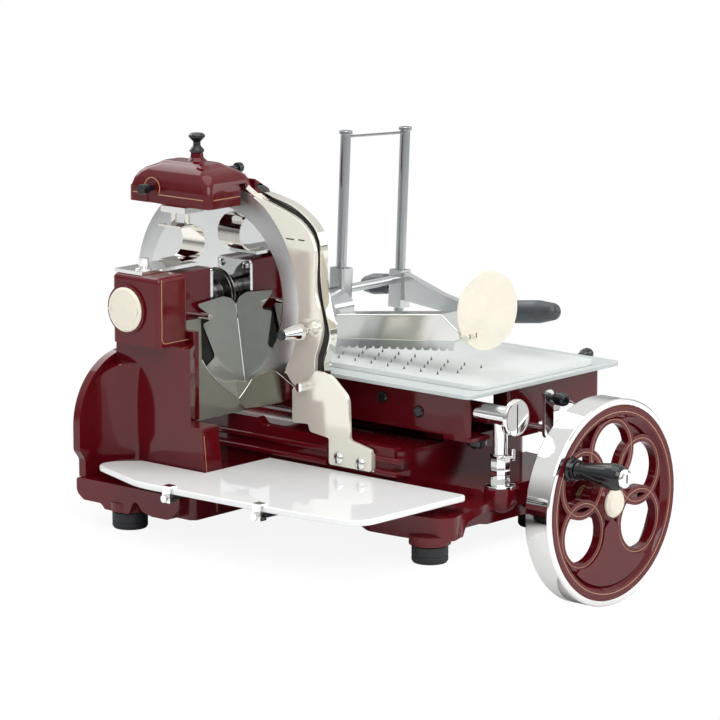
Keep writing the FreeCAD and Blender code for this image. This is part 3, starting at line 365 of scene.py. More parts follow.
finishes = {
    "redEnamel": {"colour": (0.095, 0.003, 0.0065), "rough": (0.05, 0.09), "shine": 0.36, "vary": 0.07,
                  "cloud": 9.0, "smear": 6.0, "wear": 0.4, "wearColour": (0.3, 0.02, 0.035),
                  "grain": 60.0, "bump": 0.04, "depth": 0.0006},
    "goldLine": {"colour": (0.50, 0.27, 0.13), "rough": (0.3, 0.4), "vary": 0.12, "wear": 0.1},
    "whiteEnamel": {"colour": (0.76, 0.77, 0.77), "rough": (0.015, 0.035), "shine": 0.8, "vary": 0.015,
                    "wear": 0.25, "wearColour": (0.6, 0.6, 0.58), "grain": 40.0, "bump": 0.01},
    "tableEnamel": {"colour": (0.69, 0.73, 0.715), "rough": (0.16, 0.24), "vary": 0.02, "wear": 0.3,
                    "wearColour": (0.55, 0.57, 0.6), "grain": 300.0, "bump": 0.03,
                    "tips": (0.2058, (0.22, 0.22, 0.22))},
    "plateEnamel": {"colour": (0.50, 0.54, 0.535), "rough": (0.18, 0.26), "vary": 0.02, "wear": 0.4,
                    "wearColour": (0.45, 0.46, 0.48), "grain": 400.0, "bump": 0.04},
    "polishedSteel": {"colour": (0.78, 0.755, 0.69), "metallic": 1.0, "rough": (0.03, 0.07),
                      "vary": 0.03, "wear": 0.6, "wearColour": (0.93, 0.91, 0.87), "grain": 30.0,
                      "smear": 9.0, "bump": 0.1, "depth": 0.0006},
    "creamSteel": {"colour": (0.80, 0.77, 0.68), "metallic": 0.42, "rough": (0.06, 0.12), "vary": 0.02,
                   "wear": 0.6, "wearColour": (0.93, 0.91, 0.87), "grain": 30.0, "smear": 9.0,
                   "bump": 0.08, "depth": 0.0006},
    # painted shade: near-black for sheets and inlays that stand in for the shade in the gauge recess, behind
    # the leaf and inside screw slots
    "paintedShadeBlack": {"colour": (0.012, 0.011, 0.009), "metallic": 0.3, "rough": (0.12, 0.25), "vary": 0.3,
                  "wear": 0.4, "wearColour": (0.1, 0.1, 0.08), "grain": 200.0, "bump": 0.05},
    "leafSteel": {"colour": (0.40, 0.415, 0.375), "metallic": 0.5, "rough": (0.08, 0.13), "vary": 0.05,
                  "wear": 0.7, "wearColour": (0.9, 0.88, 0.84), "grain": 30.0, "smear": 9.0, "bump": 0.1,
                  "depth": 0.0004},
    "apronSteel": {"colour": (0.27, 0.27, 0.225), "metallic": 0.45, "rough": (0.12, 0.2), "vary": 0.05,
                   "wear": 0.5, "wearColour": (0.9, 0.88, 0.84), "grain": 200.0, "bump": 0.04},
    "bladeSteel": {"colour": (0.70, 0.71, 0.71), "metallic": 1.0, "rough": (0.02, 0.05), "vary": 0.03,
                   "rings": (0, 0, 0.286), "grain": 900.0, "bump": 0.08, "depth": 0.00004, "wear": 0.5,
                   "band": (0.1205, 0.1225, 0.3), "wearColour": (0.9, 0.9, 0.9)},
    "chrome": {"colour": (0.82, 0.82, 0.81), "metallic": 1.0, "rough": (0.02, 0.06), "vary": 0.02,
               "wear": 0.4, "wearColour": (0.93, 0.92, 0.9), "grain": 60.0, "smear": 12.0, "bump": 0.03},
    "satinAluminium": {"colour": (0.56, 0.58, 0.58), "metallic": 1.0, "rough": (0.16, 0.24),
                       "vary": 0.05, "wear": 0.3, "wearColour": (0.88, 0.88, 0.88), "grain": 120.0,
                       "bump": 0.03},
    # painted reflection: the posts' steel is darker than the other steels, standing in for the dark studio it
    # reflects
    "postSteelPaintedReflection": {"colour": (0.42, 0.44, 0.455), "metallic": 1.0, "rough": (0.08, 0.13), "vary": 0.03,
                  "wear": 0.5, "wearColour": (0.85, 0.85, 0.85), "grain": 40.0, "bump": 0.02},
    "plainSteel": {"colour": (0.72, 0.725, 0.70), "metallic": 1.0, "rough": (0.13, 0.2), "vary": 0.03,
                   "wear": 0.6, "wearColour": (0.93, 0.91, 0.87), "grain": 40.0, "smear": 9.0,
                   "bump": 0.05, "depth": 0.0004},
    "machineSteel": {"colour": (0.40, 0.39, 0.38), "metallic": 1.0, "rough": (0.2, 0.34), "vary": 0.1,
                     "wear": 0.4, "wearColour": (0.7, 0.7, 0.7), "grain": 500.0, "stretch": (4, 0.2, 1),
                     "bump": 0.15},
    "gunSteel": {"colour": (0.17, 0.165, 0.16), "metallic": 1.0, "rough": (0.14, 0.24), "vary": 0.08,
                 "wear": 0.5, "wearColour": (0.6, 0.6, 0.6), "rings": (0, 0, 0.286), "grain": 800.0,
                 "bump": 0.1},
    "bronze": {"colour": (0.5, 0.3, 0.12), "metallic": 1.0, "rough": (0.3, 0.45), "vary": 0.12,
               "wear": 0.3},
    "blackPhenolic": {"colour": (0.007, 0.008, 0.010), "rough": (0.12, 0.2), "vary": 0.2, "wear": 0.3,
                      "wearColour": (0.03, 0.03, 0.034), "grain": 200.0, "bump": 0.04},
    "slateGrip": {"colour": (0.045, 0.052, 0.062), "rough": (0.3, 0.42), "vary": 0.12, "wear": 0.3,
                  "wearColour": (0.1, 0.11, 0.12), "grain": 600.0, "bump": 0.08},
    "creamLacquer": {"colour": (0.76, 0.72, 0.61), "rough": (0.18, 0.28), "vary": 0.04, "wear": 0.3,
                     "wearColour": (0.5, 0.46, 0.38), "grain": 500.0, "bump": 0.04},
    "rubber": {"colour": (0.010, 0.012, 0.015), "rough": (0.5, 0.65), "vary": 0.2, "wear": 0.3,
               "wearColour": (0.05, 0.05, 0.05), "grain": 1500.0, "bump": 0.25},
    "stone": {"colour": (0.32, 0.29, 0.25), "rough": (0.8, 0.95), "vary": 0.25, "cloud": 400.0,
              "grain": 2500.0, "bump": 0.6},
}
paint = {name: makeFinish(name, recipe) for name, recipe in finishes.items()}
slotFinish = {"red_paint": "redEnamel", "white_enamel": "whiteEnamel", "polished_steel": "polishedSteel",
              "blade_steel": "bladeSteel", "chrome": "chrome", "satin_metal": "satinAluminium",
              "machine_steel": "machineSteel", "bronze": "bronze", "black_plastic": "blackPhenolic",
              "cream_metal": "creamLacquer", "rubber": "rubber", "stone": "stone"}
nodeFinish = {"meat_table": "tableEnamel", "table_plate": "plateEnamel", "press_plate": "plainSteel"}
print("finishes made:", len(paint))


creaseAngle = 35
plainWidth = 0.6
# width in mm of the rounding on each casting or plate; the rest get plainWidth, and 0 keeps an edge crisp
softEdges = {"base_casting": 2.2, "column_casting": 3.0, "bearing_housing": 1.5, "carriage_body": 1.2,
             "sharpener_cap": 1.6, "table_plate": 1.2, "meat_table": 0, "receiving_tray": 2.2,
             "press_frame": 1.5, "press_plate": 1.5, "flywheel_web": 1.0, "press_comb": 0,
             "machine_screws": 0.4, "drive_chain": 0, "drive_bevel_gear": 0, "driven_bevel_gear": 0,
             "drive_sprocket": 0, "blade_sprocket": 0, "table_rack": 0, "blade_guard": 0.3,
             "sharpener_bracket": 0.5}


def evenNormals(piece):
    even = piece.modifiers.new("even", "WEIGHTED_NORMAL")
    even.mode, even.weight = "FACE_AREA", 50


def softenPiece(piece, width):
    if width:
        rounded = piece.modifiers.new("round", "BEVEL")
        rounded.width, rounded.segments = width * mm, 3
        rounded.limit_method, rounded.angle_limit = "ANGLE", math.radians(creaseAngle)
        evenNormals(piece)
    else:
        split = piece.modifiers.new("crisp", "EDGE_SPLIT")
        split.split_angle = math.radians(creaseAngle)


def dressNodes():
    for part in frame["record"]["subparts"]:
        name = part["node"]
        piece = cadNodes[name]
        piece.data.materials.clear()
        finish = nodeFinish.get(name, slotFinish[part["material_slot"]])
        piece.data.materials.append(paint[finish])
        piece.data.polygons.foreach_set("use_smooth", [True] * len(piece.data.polygons))
        weld = piece.modifiers.new("weld", "WELD")
        weld.merge_threshold = 0.00001
        flat = piece.modifiers.new("flat", "DECIMATE")
        flat.decimate_type, flat.angle_limit = "DISSOLVE", math.radians(0.4)
        softenPiece(piece, softEdges.get(name, plainWidth))


dressNodes()
print("CAD nodes dressed")


# corners (x, y, radius) become points, with an arc where there is a radius
def fillet(corners, closed=True, steps=5):
    path, count = [], len(corners)
    for i, (x, y, *radius) in enumerate(corners):
        here = Vector((x, y))
        if not radius or not radius[0] or (not closed and i in (0, count - 1)):
            path.append(here)
            continue
        before = Vector(corners[i - 1][:2]) - here
        after = Vector(corners[(i + 1) % count][:2]) - here
        half = before.angle(after) / 2
        reach = min(radius[0] / math.tan(half), before.length * 0.48, after.length * 0.48)
        before.normalize()
        after.normalize()
        middle = here + (before + after).normalized() * reach / math.cos(half)
        start, end = here + before * reach - middle, here + after * reach - middle
        path += [middle + start.slerp(end, step / steps) * start.length for step in range(steps + 1)]
    return path


aims = {"x": (1, 0, 0), "-x": (-1, 0, 0), "y": (0, 1, 0), "-y": (0, -1, 0), "z": (0, 0, 1), "-z": (0, 0, -1)}


def frameAt(at, aim):
    direction = Vector(aims.get(aim, aim)).normalized()
    turned = Vector((0, 0, 1)).rotation_difference(direction).to_matrix().to_4x4()
    return Matrix.Translation(Vector(at) * mm) @ turned


turnedCorner = 0.5


# turns a profile of (radius, height, corner radius) in mm; one that leaves the axis closes on itself
def turn(shape, at, aim, profile, sides=96):
    softened = [(r, h, rest[0] if rest else (turnedCorner if r else 0)) for r, h, *rest in profile]
    ring = not (profile[0][0] == 0 and profile[-1][0] == 0)
    path = fillet(softened, closed=ring, steps=3)
    frameHere = frameAt(at, aim)
    rows = []
    for radius, high in path:
        if radius < 0.001:
            rows.append([shape.verts.new(frameHere @ Vector((0, 0, high * mm)))])
            continue
        spots = [(radius * mm * math.cos(math.tau * k / sides), radius * mm * math.sin(math.tau * k / sides),
                  high * mm) for k in range(sides)]
        rows.append([shape.verts.new(frameHere @ Vector(spot)) for spot in spots])
    pairs = list(zip(rows, rows[1:])) + ([(rows[-1], rows[0])] if ring else [])
    for low, top in pairs:
        for k in range(sides):
            corners = [low[k % len(low)], low[(k + 1) % len(low)], top[(k + 1) % len(top)], top[k % len(top)]]
            corners = list(dict.fromkeys(corners))
            if len(corners) > 2:
                shape.faces.new(corners)


planes = {"XY": ((1, 0, 0), (0, 1, 0), (0, 0, 1)), "XZ": ((1, 0, 0), (0, 0, 1), (0, 1, 0)),
          "YZ": ((0, 1, 0), (0, 0, 1), (1, 0, 0))}


# an outline in mm on a plane, thick along the plane's third axis
def slab(shape, plane, start, thick, corners, steps=8):
    across, up, out = (Vector(v) for v in planes[plane])
    path = fillet(corners, steps=steps)
    levels = [[shape.verts.new((across * p.x + up * p.y + out * high) * mm) for p in path]
              for high in (start, start + thick)]
    shape.faces.new(levels[0])
    shape.faces.new(levels[1])
    for k in range(len(path)):
        after = (k + 1) % len(path)
        shape.faces.new([levels[0][k], levels[0][after], levels[1][after], levels[1][k]])


# a flat line raised a little from a surface, following points in mm; out is the surface's direction
def ribbon(shape, points, out, width=0.9, high=0.2, closed=False):
    points, out = [Vector(p) for p in points], Vector(out).normalized()
    rows, count = [], len(points)
    for i, point in enumerate(points):
        before = points[i - 1] if i or closed else point
        after = points[(i + 1) % count] if i < count - 1 or closed else point
        side = (after - before).normalized().cross(out) * width / 2
        low, top = out * 0.3, out * high
        rows.append([shape.verts.new((point + offset) * mm)
                     for offset in (side - low, side + top, -side + top, -side - low)])
    pairs = list(zip(rows, rows[1:])) + ([(rows[-1], rows[0])] if closed else [])
    for low, top in pairs:
        for k in range(4):
            shape.faces.new([low[k], low[(k + 1) % 4], top[(k + 1) % 4], top[k]])
    if not closed:
        shape.faces.new(rows[0])
        shape.faces.new(rows[-1])


def box(shape, middle, size, aim="z"):
    made = bmesh.ops.create_cube(shape, size=1)["verts"]
    bmesh.ops.scale(shape, vec=Vector(size) * mm, verts=made)
    bmesh.ops.transform(shape, matrix=frameAt(middle, aim), verts=made)


def finishEdges(piece, width):
    if width:
        softenPiece(piece, width)
    else:
        evenNormals(piece)


def newPiece(name, shape, finish, body, nodes=(), width=0):
    bmesh.ops.recalc_face_normals(shape, faces=shape.faces)
    mesh = bpy.data.meshes.new(name)
    shape.to_mesh(mesh)
    shape.free()
    mesh.polygons.foreach_set("use_smooth", [True] * len(mesh.polygons))
    mesh.materials.append(paint[finish])
    piece = bpy.data.objects.new(name, mesh)
    bpy.context.scene.collection.objects.link(piece)
    finishEdges(piece, width)
    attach(piece, body)
    if nodes:
        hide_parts(*nodes)
    return piece


# Round parts turned afresh with many sides: (piece, body, node, slot, finish, where, axis, profile)
lean = math.radians(3)
leaning = (math.sin(lean), 0, math.cos(lean))
raised, lowered = (0, -0.99276, 0.12014), (0, 0.99276, -0.12014)
wheel, pin = (184, -532, 45), (94, -524, 105)
turnedParts = [
    ("bladeDisc", "blade", "blade", "blade_steel", "bladeSteel", (-5, 0, 286), "x",
     [(10, 0, 0), (121, 0, 0.4), (138, 1.6, 0), (149.9, 4.6, 0), (149.9, 5, 0), (135, 4, 0), (10, 4, 0)]),
    ("bladeSpindle", "blade", "blade_spindle", "machine_steel", "gunSteel", (-143, 0, 286), "x",
     [(0, 0.4), (8, 0.4), (8, 20, 0), (12, 20, 0), (12, 102.5, 0), (20, 102.5), (20, 112), (18.6, 113),
      (18.6, 116), (20, 117), (20, 132), (34, 134), (34, 138, 0), (10, 138, 0), (10, 142, 0), (18, 142),
      (16, 149, 2), (0, 150)]),
    ("wheelRim", "flywheel", "flywheel_rim", "chrome", "chrome", wheel, "y",
     [(129, 1), (135.4, 1, 1.2), (137, 3, 1.6), (137, 38, 1.6), (135.4, 40, 1.2), (129, 40)]),
    ("wheelHubCap", "flywheel", "hub_cap", "cream_metal", "creamLacquer", (184, -530, 45), "-y",
     [(0, 0), (19, 0), (19, 3, 1.5), (14, 7, 4), (0, 9)]),
    ("crankCollar", "flywheel", "crank_pin", "black_plastic", "blackPhenolic", pin, "-y",
     [(0, 0), (16, 0), (16, 9, 3), (14, 12, 2), (14, 18, 1), (6, 18), (6, 92), (0, 92)]),
    ("crankHandle", "grip", "crank_grip", "black_plastic", "blackPhenolic", pin, "-y",
     [(6.05, 18.4), (13, 18.4, 1.5), (11.5, 23, 6), (11.5, 30, 20), (17, 70, 20), (17.5, 80, 8), (15, 88, 6),
      (12.5, 91.9, 1), (6.05, 91.9)]),
    ("handleCap", "flywheel", "grip_cap", "chrome", "chrome", pin, "-y",
     [(0, 92.2), (12.5, 92.2, 0.4), (12, 95, 1.5), (9, 96.6, 2), (0, 96.6)]),
    ("discPlate", "base", "housing_cover", "cream_metal", "creamLacquer", (-176, 0, 286), "-x",
     [(0, 0), (29.5, 0), (29.5, 2, 0.8), (27, 4, 1.5), (24, 4.2, 0.3), (23, 3.8, 0.3), (22, 4.4, 0.3),
      (0, 5.5)]),
    ("feedKnob", "feed", "feed_knob", "black_plastic", "blackPhenolic", (167, -436, 175), "-y",
     [(0, 0), (6, 0), (5, 4, 3), (9, 14, 5), (9, 24, 4), (7, 29, 3), (0, 30)]),
    ("tableKnob", "carriage", "table_knob", "black_plastic", "blackPhenolic", (330, -356, 196), "x",
     [(0, 0), (4, 0), (4, 6, 2), (8, 10, 3), (9, 18, 5), (7, 24, 3), (0, 25)]),
    ("sharpenerKnob", "sharpener", "sharpener_knob", "black_plastic", "blackPhenolic", (-22, 16, 442), "z",
     [(0, 0), (5, 0), (5, 34), (9.5, 34, 0.5), (10, 37, 1.5), (5, 43, 3), (5, 48, 3), (11, 54, 2),
      (11, 57, 1.5), (8, 59.5, 2), (0, 59.5)]),
    ("guideWheel", "roller", "guide_roller", "black_plastic", "blackPhenolic", (64, -398, 135), "-z",
     [(0, 0), (3, 0), (3, 5.4, 0), (13, 5.4, 1), (13, 12.5, 1), (8, 12.5, 0), (8, 16.5, 2), (0, 16.5)]),
    ("dialDisc", "regulator_dial", "regulator_dial", "chrome", "chrome", (61, -463.3, 168), "-y",
     [(0, 0), (24.6, 0), (24.6, 4, 0.6), (23, 5.5, 0.6), (21, 5, 0.4), (0, 5)]),
    ("gaugeLock", "gauge_lock", "gauge_lock", "chrome", "chrome", (-73, -180, 259), "x",
     [(0, 0), (5.6, 0, 1), (6.3, 4), (11.6, 30, 5), (11, 38, 2), (7, 43.6, 1), (5, 44), (5, 78), (7, 78),
      (7, 104, 1), (5, 106, 1), (0, 106)]),
    ("lockTip", "gauge_lock", "", "black_plastic", "blackPhenolic", (-73.8, -180, 259), "x",
     [(0, 0), (5.8, 0, 1.2), (6.9, 3.6, 0.4), (6.4, 4.2), (0, 4.2)]),
]


def makeTurnedParts():
    for name, body, node, slotName, finish, at, aim, profile in turnedParts:
        shape = bmesh.new()
        turn(shape, at, aim, profile, sides=256 if profile[1][0] > 100 else 64)
        newPiece(name, shape, finish, body, (node,) if node else ())


makeTurnedParts()
print("round parts turned:", len(turnedParts))


grip = {"front": (268, -238, 251), "rear": (268, -80, 271.5)}
strap = {"foot": (142, -90, 205.3), "rise": 283, "half": 61.5, "size": (123, 12, 1.8)}


def makePressParts():
    shape = bmesh.new()
    turn(shape, grip["front"], raised, [(0, 7.2), (8, 7.2), (12, 20, 20), (15.5, 60, 30), (15.5, 100, 20),
                                        (11, 128, 10), (0, 136)], sides=64)
    turn(shape, grip["rear"], lowered, [(0, 3.2), (11, 3.2, 2), (14, 12, 8), (14.5, 36, 8), (10, 54, 6),
                                        (0, 58)], sides=64)
    newPiece("pressGrips", shape, "slateGrip", "press", ("press_grip",))
    shape = bmesh.new()
    turn(shape, (134, -355.5, 285), (-math.sin(math.radians(8)), -math.cos(math.radians(8)), 0),
         [(0, 0), (52.5, 0), (52.5, 3, 0.6), (0, 3)], sides=160)
    for x in (93, 106):
        turn(shape, (x, -348, 257), "-y", [(0, 0), (4, 0), (4, 13, 1), (0, 14)], sides=32)
    newPiece("pressDisc", shape, "creamLacquer", "press", ("press_disc",))
    shape = bmesh.new()
    for x, long in ((142, 291), (265, 284)):
        foot = (x, -90, 205.5)
        turn(shape, foot, leaning, [(0, 0), (7, 0), (7, long - 5, 0), (9, long - 5, 0.6), (9, long, 1.2),
                                    (0, long + 1)], sides=48)
    along = Vector((math.cos(lean), 0, -math.sin(lean)))
    middle = Vector(strap["foot"]) + Vector(leaning) * strap["rise"] + along * strap["half"]
    box(shape, middle, strap["size"], leaning)
    newPiece("pressPosts", shape, "postSteelPaintedReflection", "meat_table", ("press_posts",))


makePressParts()


def makeFeet():
    shape = bmesh.new()
    for x, y in ((-76, -438), (-190, -18), (170, -412), (210, 26)):
        turn(shape, (x, y, 0), "z", [(0, 0), (21.5, 0), (23.5, 3, 2), (23.5, 8, 0.4), (22.6, 9, 0.4),
                                     (23.5, 10, 0.4), (23.5, 22, 1.5), (19, 24), (0, 24)], sides=64)
    newPiece("rubberFeet", shape, "rubber", "base", ("rubber_feet",))


makeFeet()


post = {"x": 61, "y": -440, "apron": 74, "head": 168}


def makeRegulator():
    x, y, z, high = post["x"], post["y"], post["apron"], post["head"]
    shape = bmesh.new()
    turn(shape, (x, y, z), "z", [(0, 0), (20, 0), (20, 3, 1), (10, 5, 1), (10, 42, 0.5), (9.5, 44, 0.5),
                                 (9.5, 88), (0, 88)], sides=64)
    turns = [math.pi * (k + 0.5) / 4 for k in range(8)]
    octagon = [(x + 13.5 * math.cos(a), y + 13.5 * math.sin(a), 0.8) for a in turns]
    slab(shape, "XY", z + 4, 38, octagon)
    turn(shape, (x, -463, high), "y", [(0, 0), (13.5, 0, 0.5), (13.5, 85, 1.5), (0, 85)], sides=64)
    turn(shape, (x, y, 108), "x", [(0, 0), (3, 0), (3, 26, 0.5), (0, 26)], sides=32)
    turn(shape, (x + 26, y, 104), "z", [(0, 0), (3, 0, 1), (3, 16, 1), (0, 16)], sides=32)
    newPiece("regulatorPost", shape, "chrome", "base", ("regulator_post",))


makeRegulator()
print("press, feet and regulator made")


# a smooth open curve through points
def through(points, steps=6):
    points = [Vector(points[0])] + [Vector(p) for p in points] + [Vector(points[-1])]
    path = []
    for a, b, c, d in zip(points, points[1:], points[2:], points[3:]):
        for step in range(steps):
            u = step / steps
            path.append((b * 2 + (c - a) * u + (a * 2 - b * 5 + c * 4 - d) * u * u
                         + (b * 3 - a - c * 3 + d) * u * u * u) / 2)
    return path + [points[-1]]


# outlines across the blade, (y, z) in mm: the front plate, then the shell behind it
gauge = {"axis": (0, 286), "radius": 166, "arc": (118, 211),
         "face": [(-149, 191), (-160, 182), (-177, 179), (-190, 184), (-195, 195), (-194, 205), (-195, 224),
                  (-199, 235), (-204, 249), (-206, 266), (-201, 289), (-195, 312), (-194, 333), (-195, 358),
                  (-192, 375), (-183, 390), (-165, 404), (-138, 414), (-104, 424)],
         "shell": [(-158, 176), (-176, 173), (-190, 186), (-203, 203), (-204, 219), (-209, 233), (-214, 250),
                   (-213, 263), (-204, 294), (-199, 325), (-198, 352), (-197, 375), (-189, 393), (-173, 407),
                   (-149, 420), (-124, 427), (-99, 432)],
         "wall": 3.4, "cone": ((166.3, -22.8), (153.5, -0.6), (158, -0.6), (172, -20)),
         "bore": ((-30, -180, 259), "x", (5.3, 31)),
         "bracket": [(-160, 182, 8), (-178, 186, 12), (-201, 209, 6), (-228, 205, 20), (-258, 180, 22),
                     (-260, 124, 5), (-298, 116, 5), (-298, 87, 4), (-224, 87, 4), (-224, 122, 3),
                     (-191, 126, 6), (-187, 136, 3), (-160, 134, 3)]}


# the blade's side of an outline as an arc, and its outer side as a smooth curve drawn in by shrink
def gaugeOutline(points, shrink=0.0, radius=None):
    cy, cz = gauge["axis"]
    radius = radius or gauge["radius"]
    high, low = (math.radians(a) for a in gauge["arc"])
    turns = [high + (low - high) * k / 40 for k in range(41)]
    inner = [(cy + radius * math.cos(a), cz + radius * math.sin(a)) for a in turns]
    outer = through(points)
    outer = [p - (p - Vector((cy, cz))).normalized() * shrink for p in outer]
    return inner, outer


# cuts round holes (aim, radius and length) or square ones (no aim, three sizes) in a new piece
def carve(piece, cutters, width=0):
    piece.modifiers.clear()
    for at, aim, size in cutters:
        shape = bmesh.new()
        if aim:
            radius, long = size
            turn(shape, at, aim, [(0, 0), (radius, 0, 0), (radius, long, 0), (0, long)], sides=32)
        else:
            box(shape, at, size)
        bmesh.ops.recalc_face_normals(shape, faces=shape.faces)
        mesh = bpy.data.meshes.new("cutter")
        shape.to_mesh(mesh)
        shape.free()
        tool = bpy.data.objects.new("cutter", mesh)
        bpy.context.scene.collection.objects.link(tool)
        hole = piece.modifiers.new("hole", "BOOLEAN")
        hole.operation, hole.solver, hole.object = "DIFFERENCE", "EXACT", tool
        carved = bpy.data.meshes.new_from_object(piece.evaluated_get(bpy.context.evaluated_depsgraph_get()))
        piece.modifiers.remove(hole)
        old, piece.data = piece.data, carved
        bpy.data.objects.remove(tool)
        bpy.data.meshes.remove(mesh)
        bpy.data.meshes.remove(old)
        carved.name = piece.name
    finishEdges(piece, width)


def makeGauge():
    shape = bmesh.new()
    inner, outer = gaugeOutline(gauge["face"])
    slab(shape, "YZ", -23, 7, inner + outer)
    bored = [newPiece("gaugeFace", shape, "creamSteel", "base", ("gauge_plate",))]
    shape = bmesh.new()
    rows = []
    for k in range(49):
        angle = math.radians(116 + 96 * k / 48)
        rows.append([shape.verts.new((x * mm, r * mm * math.cos(angle), (286 + r * math.sin(angle)) * mm))
                     for r, x in gauge["cone"]])
    for low, top in zip(rows, rows[1:]):
        for k in range(4):
            shape.faces.new([low[k], low[(k + 1) % 4], top[(k + 1) % 4], top[k]])
    shape.faces.new(rows[0])
    shape.faces.new(rows[-1])
    newPiece("gaugeCone", shape, "creamSteel", "base", (), 0.4)
    # painted shade: the shell behind the front plate is a near-black sheet standing in for the shade and dark
    # reflections inside the recess
    shape = bmesh.new()
    inner, outer = gaugeOutline(gauge["shell"], gauge["wall"], 176)
    slab(shape, "YZ", -16, 14, inner + outer)
    bored.append(newPiece("gaugeRecessShade", shape, "paintedShadeBlack", "base", ()))
    shape = bmesh.new()
    inner, outer = gaugeOutline(gauge["shell"], gauge["wall"], 160)
    slab(shape, "YZ", -1.9, 1.5, inner + outer)
    bored.append(newPiece("gaugeBack", shape, "polishedSteel", "base", ()))
    for piece, width in zip(bored, (0.8, 0, 0)):
        carve(piece, (gauge["bore"],), width)
    shape = bmesh.new()
    inset, edge = gaugeOutline(gauge["shell"], gauge["wall"] - 0.2)[1], gaugeOutline(gauge["shell"])[1]
    slab(shape, "YZ", -14, 13.9, edge + inset[::-1])
    newPiece("gaugeRim", shape, "polishedSteel", "base", (), 0.6)
    shape = bmesh.new()
    slab(shape, "YZ", -29, 6, gauge["bracket"])
    slab(shape, "YZ", -23.5, 3.5, [(-298, 86), (-298, 110), (-222, 110), (-222, 86)])
    newPiece("gaugeBracket", shape, "creamSteel", "base", ("support_bracket",), 0.8)


makeGauge()


capDome = {"left": -72, "right": 22, "front": -52, "back": 97, "wall": 2.2,
           "levels": [(422.6, 0.3, 0.3, 9.6), (431, 1.2, 1.2, 10), (440, 3, 3.6, 12), (448, 6.5, 8, 14),
                      (454, 12, 15, 16), (459, 20, 27, 17), (463, 30, 43, 14), (465.4, 41, 62, 5)]}


def roundedLevel(shape, level, shrink):
    high, across, along, radius = level
    x0, x1 = capDome["left"] + across + shrink, capDome["right"] - across - shrink
    y0, y1 = capDome["front"] + along + shrink, capDome["back"] - along - shrink
    radius = max(radius - shrink, 0.8)
    path = fillet([(x0, y0, radius), (x1, y0, radius), (x1, y1, radius), (x0, y1, radius)], steps=8)
    return [shape.verts.new((p.x * mm, p.y * mm, (high - (shrink if high > 430 else 0)) * mm)) for p in path]


def makeCapDome():
    shape = bmesh.new()
    skins = [[roundedLevel(shape, level, shrink) for level in capDome["levels"]]
             for shrink in (0, capDome["wall"])]
    for rows in skins:
        for low, top in zip(rows, rows[1:]):
            for k in range(len(low)):
                after = (k + 1) % len(low)
                shape.faces.new([low[k], low[after], top[after], top[k]])
        shape.faces.new(rows[-1])
    outer, inner = skins[0][0], skins[1][0]
    for k in range(len(outer)):
        after = (k + 1) % len(outer)
        shape.faces.new([outer[k], outer[after], inner[after], inner[k]])
    dome = newPiece("capDome", shape, "redEnamel", "sharpener")
    carve(dome, (((0, -10, 452), "x", (4.4, 30)), ((-80, 51, 430), "x", (9.5, 16)),
                 ((-22, 16, 455), "z", (5.3, 20)), ((-3, -46, 424), None, (14, 18, 28))))


makeCapDome()
print("cap dome made")


# thin sheets that lean back: the leaf hangs on a pin, the apron stands in front of it, and a near-black sheet
# behind it is painted shade showing past the leaf's notched edge
sheets = {"lean": 0.1527, "level": 278, "thick": 1.2,
          "leaf": (-37.6, [(-77, 284, 3), (-27, 288, 14), (-6.3, 281, 14), (-6.3, 141), (-41, 150),
                           (-66, 172), (-89, 199, 3), (-74, 202, 2), (-55.5, 212.5, 6), (-62, 230),
                           (-72, 257, 3), (-57, 260.5, 3), (-52.5, 264, 3), (-58, 267.5, 3),
                           (-75, 279.5, 2)]),
          "apron": (-39.4, [(-108, 266), (-77, 266, 2), (-84.6, 212), (-79, 202.5), (-72, 193.5),
                            (-61, 182.4), (-46, 168.6), (-33.6, 159.2), (-20, 150.2), (-6.4, 142.3),
                            (-6.4, 134.7), (-108, 134.7)]),
          "rib": (137.5, 118, [(-117, -66.5, 2), (-106.5, -66.5, 2), (-106.5, -56), (-110, -40),
                               (-117, -40)]),
          "leafShade": (-35.6, [(-86, 192), (-40, 192), (-40, 262), (-86, 262)])}


def leanBack(shape):
    for corner in shape.verts:
        corner.co.y += (corner.co.z - sheets["level"] * mm) * sheets["lean"]


def makeDeflectors():
    for name, sheet, finish, nodes, slotName in (
            ("deflectorLeaf", "leaf", "leafSteel", ("slice_deflector",), "polished_steel"),
            ("deflectorApron", "apron", "apronSteel", ("lower_deflector",), "polished_steel"),
            # painted shade: a near-black sheet behind the leaf, with no part of its own
            ("leafShadeSheet", "leafShade", "paintedShadeBlack", (), "")):
        shape = bmesh.new()
        start, outline = sheets[sheet]
        slab(shape, "XZ", start, sheets["thick"], outline)
        leanBack(shape)
        newPiece(name, shape, finish, "base", nodes)
    shape = bmesh.new()
    low, high, outline = sheets["rib"]
    slab(shape, "XY", low, high, outline)
    newPiece("columnRib", shape, "redEnamel", "base", (), 1.0)
    start, outline = sheets["apron"]
    shape = bmesh.new()
    ribbon(shape, [(x, start - 0.1, z) for x, z in outline[2:10]], (0, -1, 0), 1.3, 0.9)
    leanBack(shape)
    newPiece("apronEdge", shape, "chrome", "base")


makeDeflectors()
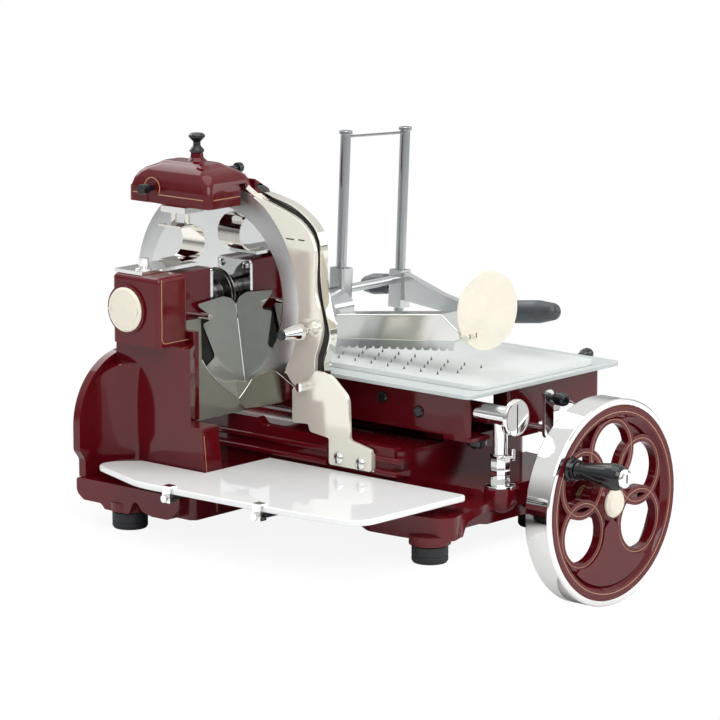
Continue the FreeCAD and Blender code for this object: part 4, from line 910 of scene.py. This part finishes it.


# screw slots as dark inlays (middle, sizes) in mm, painted shade standing in for the inside of each slot;
# bracketSlots also holds the two of the gauge plate
slots = {
    "bracketSlots": ("base", [((-34.4, -242, 98), (1.4, 1.6, 12)), ((-34.4, -280, 96), (1.4, 1.6, 12)),
                              ((-23.1, -152, 377), (0.6, 14, 1.5)), ((-23.1, -172, 377.5), (0.6, 11, 1.5))]),
    "handleSlot": ("flywheel", [((94, -524 - 96.5, 105), (2.2, 0.9, 11))]),
    "dialSlot": ("regulator_dial", [((61, -468.4, 168), (1.6, 0.6, 36))]),
    "studSlots": ("press", [((93, -361.8, 257), (1.2, 0.8, 6)), ((106, -361.8, 257), (1.2, 0.8, 6))]),
}


def makeSlots():
    for name, (body, inlays) in slots.items():
        shape = bmesh.new()
        for middle, size in inlays:
            box(shape, middle, size)
        newPiece(name, shape, "paintedShadeBlack", body)


makeSlots()
print("gauge and screw slots made")


def onWheel(angle, radius, centre=(0, 0), depth=6.0):
    x, y, z = wheel
    return (x + centre[0] + radius * math.cos(angle), y + depth, z + centre[1] + radius * math.sin(angle))


def makeWheelStripes():
    shape = bmesh.new()
    ribbon(shape, [onWheel(math.tau * k / 160, 120, depth=0.55) for k in range(160)], (0, -1, 0), closed=True)
    for degrees in (-30, 30, 90, 150, 210):
        turned = math.radians(degrees)
        centre = (68 * math.cos(turned), 68 * math.sin(turned))
        ring = [onWheel(math.tau * k / 96, 42, centre) for k in range(96)]
        ribbon(shape, ring, (0, -1, 0), 0.7, closed=True)
    newPiece("wheelStripes", shape, "goldLine", "flywheel")


def makeCastingStripes():
    shape = bmesh.new()
    boxLine = fillet([(-167, 330), (-167, 245, 7), (-118, 245)], closed=False)
    ribbon(shape, [(p.x, -57, p.y) for p in boxLine], (0, -1, 0))
    ribbon(shape, [(-144.5, -108.6, 136), (-144.5, -115.6, 64)], (0, -1, -0.094))
    ribbon(shape, [(-152, -139.2, 56), (-152, -139.2, 31)], (0, -1, 0))
    newPiece("castingStripes", shape, "goldLine", "base")
    shape = bmesh.new()
    around = [math.radians(-35 + 250 * k / 24) for k in range(25)]
    capLine = [(51 + 14 * math.cos(a), 430 + 14 * math.sin(a)) for a in around]
    ribbon(shape, [(-72, y, z) for y, z in [(86, 422)] + capLine + [(-42, 422)]], (-1, 0, 0), 1.1)
    for x0, x1 in ((-62, -10.6), (4.6, 12)):
        ribbon(shape, [(x0, -52, 422), (x1, -52, 422)], (0, -1, 0), 1.1)
    newPiece("capStripe", shape, "goldLine", "sharpener")


makeWheelStripes()
makeCastingStripes()
print("pinstripes laid")
